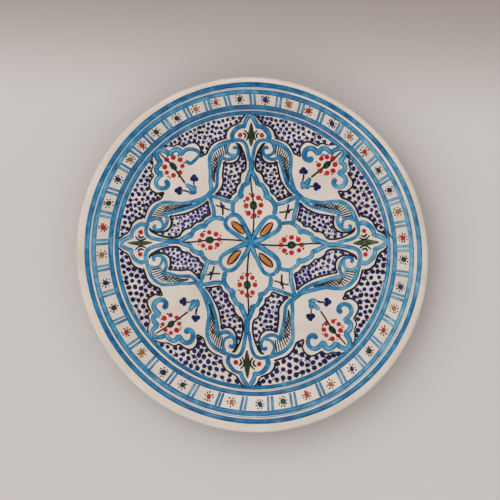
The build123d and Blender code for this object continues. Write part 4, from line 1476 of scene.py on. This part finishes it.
@dataclass
class Scrolls:
    """The trunk on each axis that splits into two ribbons, with hooks and hatching."""

    trunk: tuple = (Mark(((0.9, 70.5), (1.2, 76), (1.4, 82.5)), (4.4, 4.6, 4.6), 0.75),)
    ribbons: tuple = (
        Mark(((1.6, 80), (2.6, 85), (4.2, 92), (6.6, 96.2), (10.2, 97.8), (14.2, 97.4), (17.4, 96.2)),
             3.1, 0.55),
        Mark(((16.6, 97), (23, 95), (27, 93.4), (30.6, 90.6), (33.4, 87), (34.6, 83), (34.6, 77),
              (34.2, 71), (35.4, 64), (38.2, 56), (43, 50.8)),
             (3.6, 3.2, 3.0, 3.3), (0.6, 0.45, 0.45, 0.6)),
        Mark(((19, 95.6), (20.4, 92.6), (20.8, 89.6), (19.4, 86.8), (16.4, 85.2), (13, 85)),
             (3.4, 2.5, 2.6), 0.5),
        Mark(((25.4, 84.6), (22.6, 82.6), (19, 81.8), (15, 83), (12.2, 85.4), (11, 88.4), (12, 91.4),
              (14.2, 91.6), (14.8, 90)), (2.8, 3.0, 2.9, 2.9, 3.6), 0.6),
        Mark(((25.2, 86), (25.8, 81), (28.2, 73), (31, 63.6), (33.4, 59.2), (39, 53.2)), 2.9, 0.55),
    )
    fan_top: tuple = ((20.8, 94.6), (23.6, 93.6), (26.2, 92.2), (28.6, 90.2), (30.8, 87.8), (32.4, 85.2))
    fan_foot: tuple = ((20, 86), (22, 84.6), (24, 84.2), (26, 83.4), (28, 82), (29.8, 80.8))
    outer_edge: tuple = ((32.2, 84), (32.9, 81), (33.1, 77), (32.9, 71), (33.1, 66), (33.6, 62.8))
    inner_edge: tuple = ((26.6, 84.6), (27.2, 82), (28.2, 78.6), (29.8, 73), (31.4, 67), (32.8, 62.8))
    fan_lines: int = 8
    cross_lines: int = 8
    cross_span: float = 0.8         # share of the tail that the crossed lines start along
    cross_slant: float = 0.26       # how far along the tail a crossed line runs, as a share of it
    hatch_width: float = 0.95
    cross_thinner: float = 0.85     # width of a crossed line, as a share of a fan line's

    def edge(self, points: Sequence[Point], share: float) -> Point:
        """Give the place at a share of the way along an edge."""
        at = np.linspace(0, 1, len(points))
        return tuple(float(np.interp(share, at, [p[k] for p in points])) for k in (0, 1))

    def hatching(self) -> list[Mark]:
        """Make the fan of lines at the head of the ribbon and the crossed lines below it."""
        marks = []
        for index in range(self.fan_lines):
            share = index / (self.fan_lines - 1)
            ends = (self.edge(self.fan_top, share), self.edge(self.fan_foot, share))
            marks.append(Mark(ends, self.hatch_width, 0.85))
        for index in range(self.cross_lines):
            share = self.cross_span * index / (self.cross_lines - 1)
            far = min(1.0, share + self.cross_slant)
            for start, end in ((self.outer_edge, self.inner_edge), (self.inner_edge, self.outer_edge)):
                ends = (self.edge(start, share), self.edge(end, far))
                marks.append(Mark(ends, self.hatch_width * self.cross_thinner, 0.8))
        return marks

    def build(self, kit: Kit) -> None:
        """Paint the scrolls."""
        kit.brush.paint("scroll_trunk_lines", kit.quarters(self.trunk), LIGHT_BLUE, "scroll_trunks")
        kit.brush.paint("scroll_ribbon_lines", kit.eighths(self.ribbons), LIGHT_BLUE, "scroll_ribbons")
        kit.brush.paint("hatching_lines", kit.eighths(self.hatching()), BLACK, "ribbon_hatching")


@dataclass
class CornerMedallions:
    """The curled medallion on each diagonal, its floret, and the V with two heart leaves."""

    outline: tuple = (
        Mark(((79.6, 90.2), (75.5, 91), (71, 89.4), (67.6, 86.6)), (4.1, 4.0, 4.8), 0.5),
        Mark(((68.4, 86.2), (66.4, 89.4), (63, 91.2), (59.6, 90), (57.8, 85.6)), (4.1, 4.0, 4.8), 0.45),
        Mark(((58.4, 85.4), (56.4, 88), (53.6, 90.6), (50.6, 91.2), (47.4, 89.6), (46.1, 86.6),
              (46.6, 83.4), (49, 81.4), (51.3, 82), (51.6, 84.4)),
             (4.0, 4.1, 4.0, 4.2, 5.6), (0.45, 0.45, 0.5, 0.75)),
    )
    square_side: tuple = (0, True)      # this curl came out as a square hook
    square_hook: tuple = ((-58.8, 84.6), (-57.6, 87.6), (-54, 89.8), (-49, 89.9), (-44.5, 88),
                          (-43.4, 85.4), (-46.6, 81.6), (-50.6, 78.2), (-53.4, 78.6), (-55.4, 80.4))
    stem: tuple = (Mark(((77.4, 88.6), (72.6, 84.4), (68.6, 80.6), (64.6, 77.3), (60.5, 74), (56.6, 70.8),
                         (51.8, 67)), (1.1, 1.4, 1.7, 1.4, 1.5), 0.85),)
    ring_dots: int = 8
    ring_reaches: tuple = (7.0, 7.3, 7.5, 8.0)      # corner by corner, clockwise from the upper right
    centre: Point = (65, 77.5)
    dot: float = 2.05
    speck: float = 0.62
    speck_reach: float = 1.24       # of its ring's own reach
    speck_turn: float = 17          # degrees to one side or the other of its dot
    stray: float = 4                # degrees by which a dot may lie out of its place
    eye: Point = (2.6, 3.9)
    v_arms: tuple = (
        Mark(((44.4, 64.2), (44.6, 61), (45.5, 58.8), (46.8, 57.8)), (2.4, 3.9, 4.2), 0.6),
        Mark(((46.6, 58.2), (48.8, 59.2), (51.2, 59.8)), (4.0, 3.5, 2.2), 0.55),
        Mark(((46.6, 59.4), (48.8, 62.6), (51.2, 66.8)), (5.2, 4.2, 2.5), 0.5),
    )
    leaf_stems: tuple = (
        Mark(((44.6, 63.8), (45.4, 66.6), (45.4, 70)), (1.6, 1.4), 0.85),
        Mark(((50.8, 59.6), (53.6, 59.5), (55.6, 59.6)), (1.2, 1.3), 0.8),
    )
    heart_dots: tuple = ((43.6, 71.7), (46.8, 71.6), (45.2, 73.5), (56, 60.9), (56.2, 57.6), (58, 59.2))
    heart_radius: float = 2.1

    def build(self, kit: Kit) -> None:
        """Paint the corners."""
        curls = kit.eighths(self.outline[-1:], skip=[self.square_side])
        curls.append(kit.stroke(self.square_hook, (3.9, 3.6, 3.0, 3.8), (0.45, 0.5, 0.7)))
        kit.brush.paint("medallion_lines", kit.eighths(self.outline[:-1]) + curls, LIGHT_BLUE,
                        "corner_medallions")
        kit.brush.paint("v_mark_lines", kit.quarters(self.v_arms), LIGHT_BLUE, "corner_v_marks")
        kit.brush.paint("corner_stem_lines", kit.quarters(self.stem + self.leaf_stems), BLACK,
                        "corner_stems")
        dots, eyes, specks = [], [], []
        for quarter, reach in enumerate(self.ring_reaches):
            middle = kit.layout.lay(self.centre, quarter)
            axis = heading(kit.layout.heart, middle)
            for index in range(self.ring_dots):
                bearing = axis + 360 * index / self.ring_dots
                dots.append(around(middle, reach * kit.hand.uniform(0.95, 1.05),
                                   bearing + kit.hand.uniform(-self.stray, self.stray)))
                specks.append(around(middle, reach * self.speck_reach,
                                     bearing + kit.hand.choice((-self.speck_turn, self.speck_turn))))
            eyes.append(Dab(middle, self.eye[0], self.eye[1] / self.eye[0], axis, 0.55))
        kit.dabber.touch("corner_floret_dabs", kit.dots(dots, self.dot, 0.7), RED, "corner_florets",
                         Segments=16)
        kit.dabber.touch("corner_speck_dabs", kit.dots(specks, self.speck, 0.8, 1.6, 0.25), BLACK,
                         "corner_specks", Segments=8, Rings=4)
        kit.dabber.touch("corner_eye_dabs", eyes, GREEN, "corner_eyes", Segments=20)
        hearts = [kit.layout.lay(p, quarter) for quarter in range(4) for p in self.heart_dots]
        kit.dabber.touch("heart_leaf_dabs", kit.dots(hearts, self.heart_radius, 0.75), NAVY,
                         "corner_heart_leaves", Segments=16)


@dataclass
class Grounds:
    """The outlined grounds, filled with navy dots and fine specks."""

    panel: tuple = (
        Mark(((13.4, 95), (11, 94.6), (9, 91.8), (7.4, 89), (5.8, 85), (4.8, 81), (4.6, 77), (5, 74.2),
              (6.2, 72.2), (8.6, 71), (10.6, 68.6), (11.8, 65.8), (11.8, 63.6)), (1.3, 1.8, 1.6), 0.9),
        Mark(((11.6, 63.8), (14.6, 61.2), (17, 58.4), (17.8, 55.2), (17.8, 53.6)), 1.6, 0.9),
        Mark(((17.6, 53.8), (20.6, 52.4), (22.6, 50.4), (23.8, 47.4)), 1.6, 0.9),
        Mark(((23.6, 47.2), (27.8, 48.8), (32.2, 50.8), (36.4, 52)), 1.6, 0.9),
        Mark(((36.4, 52), (33.4, 54), (30.6, 57.2), (28.2, 60.8), (26.2, 64.4), (24.8, 69), (23.2, 77)),
             1.6, 0.9),
        Mark(((23.2, 76.6), (23, 79), (22.2, 79.8), (20.6, 78.8), (17.8, 78.4), (14.6, 78.8), (11.8, 80.6),
              (10, 83.4), (9.4, 87), (10, 91), (11.6, 94.2), (13.4, 95.2)), (1.6, 1.9, 1.8, 1.4), 0.9),
        Mark(((13.6, 95.3), (11, 94), (9.2, 91.4), (8.3, 89)), (0.9, 2.2, 2.6, 1.6), 0.85),
    )
    spandrel: tuple = (
        Mark(((3.4, 119.6), (6.6, 116.6), (8.6, 113.4), (9.8, 111.8)), 1.6, 0.9),
        Mark(((9.6, 112), (13.4, 110.4), (17, 109), (19.8, 106.2), (21.2, 103.4), (21.4, 100.6)),
             (1.5, 1.7, 2.1), 0.9),
        Mark(((20.6, 99.6), (24.6, 98.4), (29.4, 96.8), (33, 94.2), (35.4, 91), (37.4, 87), (40.2, 85.6),
              (43, 84.2)), (1.5, 1.7, 1.55), 0.9),
        Mark(((42.8, 84.4), (42.6, 86.6), (41.8, 89.8), (43, 93), (45.4, 95.6), (48.6, 96.6), (52.2, 95.8),
              (57.3, 93)), 1.6, 0.9),
        Mark(((57.1, 92.8), (58.5, 94.4), (61, 95.3), (64, 94.5), (66, 93.5)), 1.25, 0.8),
        Mark(((65.6, 93.7), (70, 94.5), (75, 94.3), (77, 93)), 1.15, 0.75),
    )
    slip: tuple = ((107.5, 29.4), (111, 27), (116, 22.4), (120, 17.2))  # where the liner ran over the band
    band_centre: Point = (0.1, 3.6)
    band_reach: float = 115.0
    band_step: float = 3            # degrees between corners where the band closes a ground
    # pitch of the dots and load of the brush, eighth by eighth, each quarter's clockwise side first
    panel_dots: tuple = ((4.2, 0.65), (4.2, 0.65), (4.3, 0.45), (4.3, 0.5),
                         (4.8, 0.65), (4.7, 0.6), (4.0, 0.35), (4.0, 0.4))
    spandrel_dots: tuple = ((4.4, 0.65), (4.3, 0.65), (5.2, 0.75), (4.8, 0.7),
                            (5.5, 0.75), (5.9, 0.8), (4.7, 0.75), (5.5, 0.85))
    dot: float = 0.37               # radius, as a share of the pitch
    dot_area: float = 0.9           # area that a dot has to itself, as a share of the pitch squared
    speck: float = 0.55
    speck_gap: Point = (0.5, 1.2)   # least and greatest distance from a speck to the nearest dot's edge
    specks_per_dot: float = 0.8
    mesh: float = 0.6               # grid that stands for the area of a ground
    rounds: int = 30                # how often the dots move to the middle of what is nearest to them
    stray: float = 0.22

    def outline(self, kit: Kit, marks: tuple, side: tuple[int, bool], banded: bool) -> list[Point]:
        """Give the closed outline of one ground.

        Args:
            marks: the marks round it.
            side: quarter and side.
            banded: whether it is closed by the inner band.

        Returns:
            The outline's corners.
        """
        corners = [kit.layout.lay(p, *side) for mark in marks for p in mark.points[:-1]]
        if banded:
            start = heading(self.band_centre, corners[-1])
            sweep = half_turn(heading(self.band_centre, corners[0]) - start)
            steps = math.ceil(abs(sweep) / self.band_step)
            corners += [around(self.band_centre, self.band_reach, start + sweep * k / steps)
                        for k in range(steps + 1)]
        return corners

    def fill(self, kit: Kit, corners: Sequence[Point], pitch: float) -> tuple[np.ndarray, np.ndarray]:
        """Spread dots evenly in an outline, as a hand fills it, and specks between them.

        Args:
            corners: the outline.
            pitch: distance between neighbouring dots.

        Returns:
            Middles of the dots and of the specks.
        """
        rows = [np.arange(min(row), max(row), self.mesh) for row in zip(*corners)]
        grid = np.stack(np.meshgrid(*rows), -1).reshape(-1, 2)
        inside = np.zeros(len(grid), bool)
        for (x1, y1), (x2, y2) in zip(corners, list(corners[1:]) + [corners[0]]):
            cut = (y1 > grid[:, 1]) != (y2 > grid[:, 1])
            at = x1 + (grid[:, 1] - y1) / (y2 - y1 + 1e-12) * (x2 - x1)
            inside ^= cut & (grid[:, 0] < at)
        grid = grid[inside]
        count = round(len(grid) * self.mesh ** 2 / (pitch ** 2 * self.dot_area))
        spots = grid[kit.hand.sample(range(len(grid)), count)]
        for _ in range(self.rounds):
            nearest = np.argmin(((grid[:, None] - spots[None]) ** 2).sum(-1), axis=1)
            spots = np.array([grid[nearest == k].mean(axis=0) if np.any(nearest == k) else spots[k]
                              for k in range(count)])
        spots = spots + np.array([[kit.hand.uniform(-self.stray, self.stray) for _ in range(2)]
                                  for _ in range(count)])
        gaps = np.sqrt(((grid[:, None] - spots[None]) ** 2).sum(-1)).min(axis=1) - self.dot * pitch
        free = grid[(gaps > self.speck_gap[0]) & (gaps < self.speck_gap[1])]
        wanted = min(len(free), round(count * self.specks_per_dot))
        return spots, free[kit.hand.sample(range(len(free)), wanted)]

    def ground(self, kit: Kit, node: str, marks: tuple, own_dots: tuple, banded: bool) -> None:
        """Paint the dots and specks of the eight grounds of one kind.

        Args:
            node: the CAD node of these grounds.
            marks: the marks round one ground.
            own_dots: pitch and load of the dots, eighth by eighth.
            banded: whether the inner band closes the ground.
        """
        dabs = []
        for side, (pitch, load) in zip(kit.layout.sides(), own_dots):
            spots, fine = self.fill(kit, self.outline(kit, marks, side, banded), pitch)
            dabs += kit.dots([tuple(p) for p in spots], self.dot * pitch, load, 1.25, 0.12)
            dabs += kit.dots([tuple(p) for p in fine], self.speck, 0.9, 1.6, 0.25)
        kit.dabber.touch(node + "_dabs", dabs, NAVY, node, Segments=12, Rings=5, Ragged_edge=0.14)

    def build(self, kit: Kit) -> None:
        """Paint the outlines and fill them."""
        kit.brush.paint("panel_outline_lines", kit.eighths(self.panel), BLACK, "panel_outlines")
        lines = kit.eighths(self.spandrel) + [kit.stroke(self.slip, (1.3, 1.3, 1.0), 0.8)]
        kit.brush.paint("spandrel_outline_lines", lines, BLACK, "spandrel_outlines")
        self.ground(kit, "panel_grounds", self.panel, self.panel_dots, False)
        self.ground(kit, "spandrel_grounds", self.spandrel, self.spandrel_dots, True)


@dataclass
class Painting:
    """The whole painted design."""

    kit: Kit
    parts: tuple = field(default_factory=lambda: (
        BandedRim(), Frieze(), PetalStar(), LatticeSquares(), Finials(), Scrolls(), CornerMedallions(),
        Grounds()))

    def build(self) -> None:
        """Paint each part in turn."""
        for part in self.parts:
            part.build(self.kit)


# ------------------------------------------------------------------------------------ the studio
@dataclass
class Studio:
    """Pale floor painted darker towards the back as painted shade, soft light from above and a camera that
    looks down, leaning a little to the right.
    """

    target: tuple[float, float, float] = (0.0017, 0.0061, 0.020)
    distance: float = 0.9904
    tilt: float = 12.2              # degrees from straight above
    tilt_bearing: float = 30.0      # degrees from +X to +Y, the side that the camera leans to
    lens: float = 85.0
    lamp_size: float = 1.8
    lamps: tuple = (("key_light", (-0.5, 1.1, 1.8), 14.0), ("fill_light", (-0.2, -1.1, 1.8), 4.5))
    room_light: float = 1.15
    floor_size: float = 3.0
    paper: str = "#D1CBC7"
    painted_shade_paper: str = "#A3978F"      # painted shade: the flat sheet is painted darker towards the back
    painted_shade_start: float = 0.11
    painted_shade_end: float = 0.24
    painted_shade_slant: float = 0.06         # by how much the painted shade runs askew
    fibre_scale: float = 900.0

    def build(self) -> None:
        """Set up the camera, the floor and the lights."""
        self.camera()
        self.floor()
        self.lights()

    def camera(self) -> None:
        """Look down on the plate, leaning a little to its upper right."""
        lean, turn = math.radians(self.tilt), math.radians(self.tilt_bearing)
        back = Vector((math.sin(lean) * math.cos(turn), math.sin(lean) * math.sin(turn), math.cos(lean)))
        up = (Vector((0, 1, 0)) - back * back.y).normalized()
        right = up.cross(back)
        data = bpy.data.cameras.new("studio_camera")
        data.lens = self.lens
        data.sensor_width = 36.0
        camera = bpy.data.objects.new("studio_camera", data)
        rotation = Matrix((right, up, back)).transposed().to_4x4()
        camera.matrix_world = Matrix.Translation(Vector(self.target) + back * self.distance) @ rotation
        bpy.context.scene.collection.objects.link(camera)
        bpy.context.scene.camera = camera

    def floor(self) -> None:
        """Lay a sheet of pale paper under the plate, painted darker towards the back as painted shade."""
        half = self.floor_size / 2
        mesh = bpy.data.meshes.new("studio_floor")
        mesh.from_pydata([(-half, -half, 0), (half, -half, 0), (half, half, 0), (-half, half, 0)], [],
                         [(0, 1, 2, 3)])
        floor = bpy.data.objects.new("studio_floor", mesh)
        bpy.context.scene.collection.objects.link(floor)
        material, tree = new_material("Backdrop paper with painted shade")
        place = add(tree, "ShaderNodeTexCoord").outputs["Object"]
        fibre = add(tree, "ShaderNodeTexNoise", {"Vector": place, "Scale": self.fibre_scale, "Detail": 3.0})
        tone = add(tree, "ShaderNodeMapRange", {
            "Value": fibre.outputs["Fac"], "To Min": 0.97, "To Max": 1.03})
        # painted shade: the paper blends to a darker colour towards +Y, the back of the view, along a
        # slightly slanted line
        axes = add(tree, "ShaderNodeSeparateXYZ", {0: place})
        away = add(tree, "ShaderNodeMath", {0: axes.outputs["X"], 1: self.painted_shade_slant, 2: axes.outputs["Y"]},
                   operation="MULTIPLY_ADD")
        far = add(tree, "ShaderNodeMapRange", {
            "Value": away.outputs[0], "From Min": self.painted_shade_start, "From Max": self.painted_shade_end},
            interpolation_type="SMOOTHSTEP")
        sheet = add(tree, "ShaderNodeMix", {"Factor": far.outputs[0], 6: linear(self.paper),
                                            7: linear(self.painted_shade_paper)}, data_type="RGBA")
        colour = add(tree, "ShaderNodeVectorMath", {0: sheet.outputs[2], "Scale": tone.outputs[0]},
                     operation="SCALE")
        shader = add(tree, "ShaderNodeBsdfPrincipled", {"Base Color": colour.outputs[0], "Roughness": 0.9})
        add(tree, "ShaderNodeOutputMaterial", {"Surface": shader.outputs[0]})
        mesh.materials.append(material)

    def lights(self) -> None:
        """Hang soft square lamps that face the plate, and light it from all round."""
        for name, place, power in self.lamps:
            data = bpy.data.lights.new(name, "AREA")
            data.shape = "SQUARE"
            data.size = self.lamp_size
            data.energy = power
            lamp = bpy.data.objects.new(name, data)
            lamp.location = place
            lamp.rotation_euler = (-Vector(place)).to_track_quat("-Z", "Y").to_euler()
            bpy.context.scene.collection.objects.link(lamp)
        world = bpy.data.worlds.new("studio_world")
        world.use_nodes = True
        tree = world.node_tree
        tree.nodes.clear()
        direction = add(tree, "ShaderNodeTexCoord")
        height = add(tree, "ShaderNodeSeparateXYZ", {0: direction.outputs["Generated"]})
        room = add(tree, "ShaderNodeValToRGB", {"Fac": height.outputs["Z"]},
                   stops=((0.0, "#AFAFAF"), (0.5, "#FFFFFF"), (0.94, "#686868")))
        background = add(tree, "ShaderNodeBackground", {"Color": room.outputs["Color"],
                                                        "Strength": self.room_light})
        add(tree, "ShaderNodeOutputWorld", {"Surface": background.outputs[0]})
        bpy.context.scene.world = world
        bpy.context.scene.view_settings.view_transform = "Standard"


def main() -> None:
    """Build the plate, layer by layer, and report each piece."""
    logging.basicConfig(level=logging.INFO, format="%(name)s %(message)s")
    palette = Palette()
    Studio().build()
    face = ThrownPlate(Section.from_frame()).build(Wheel(palette))
    Painting(Kit(Layout(), Brush(palette, face), Dabber(palette, face))).build()


if __name__ == "__main__":
    main()
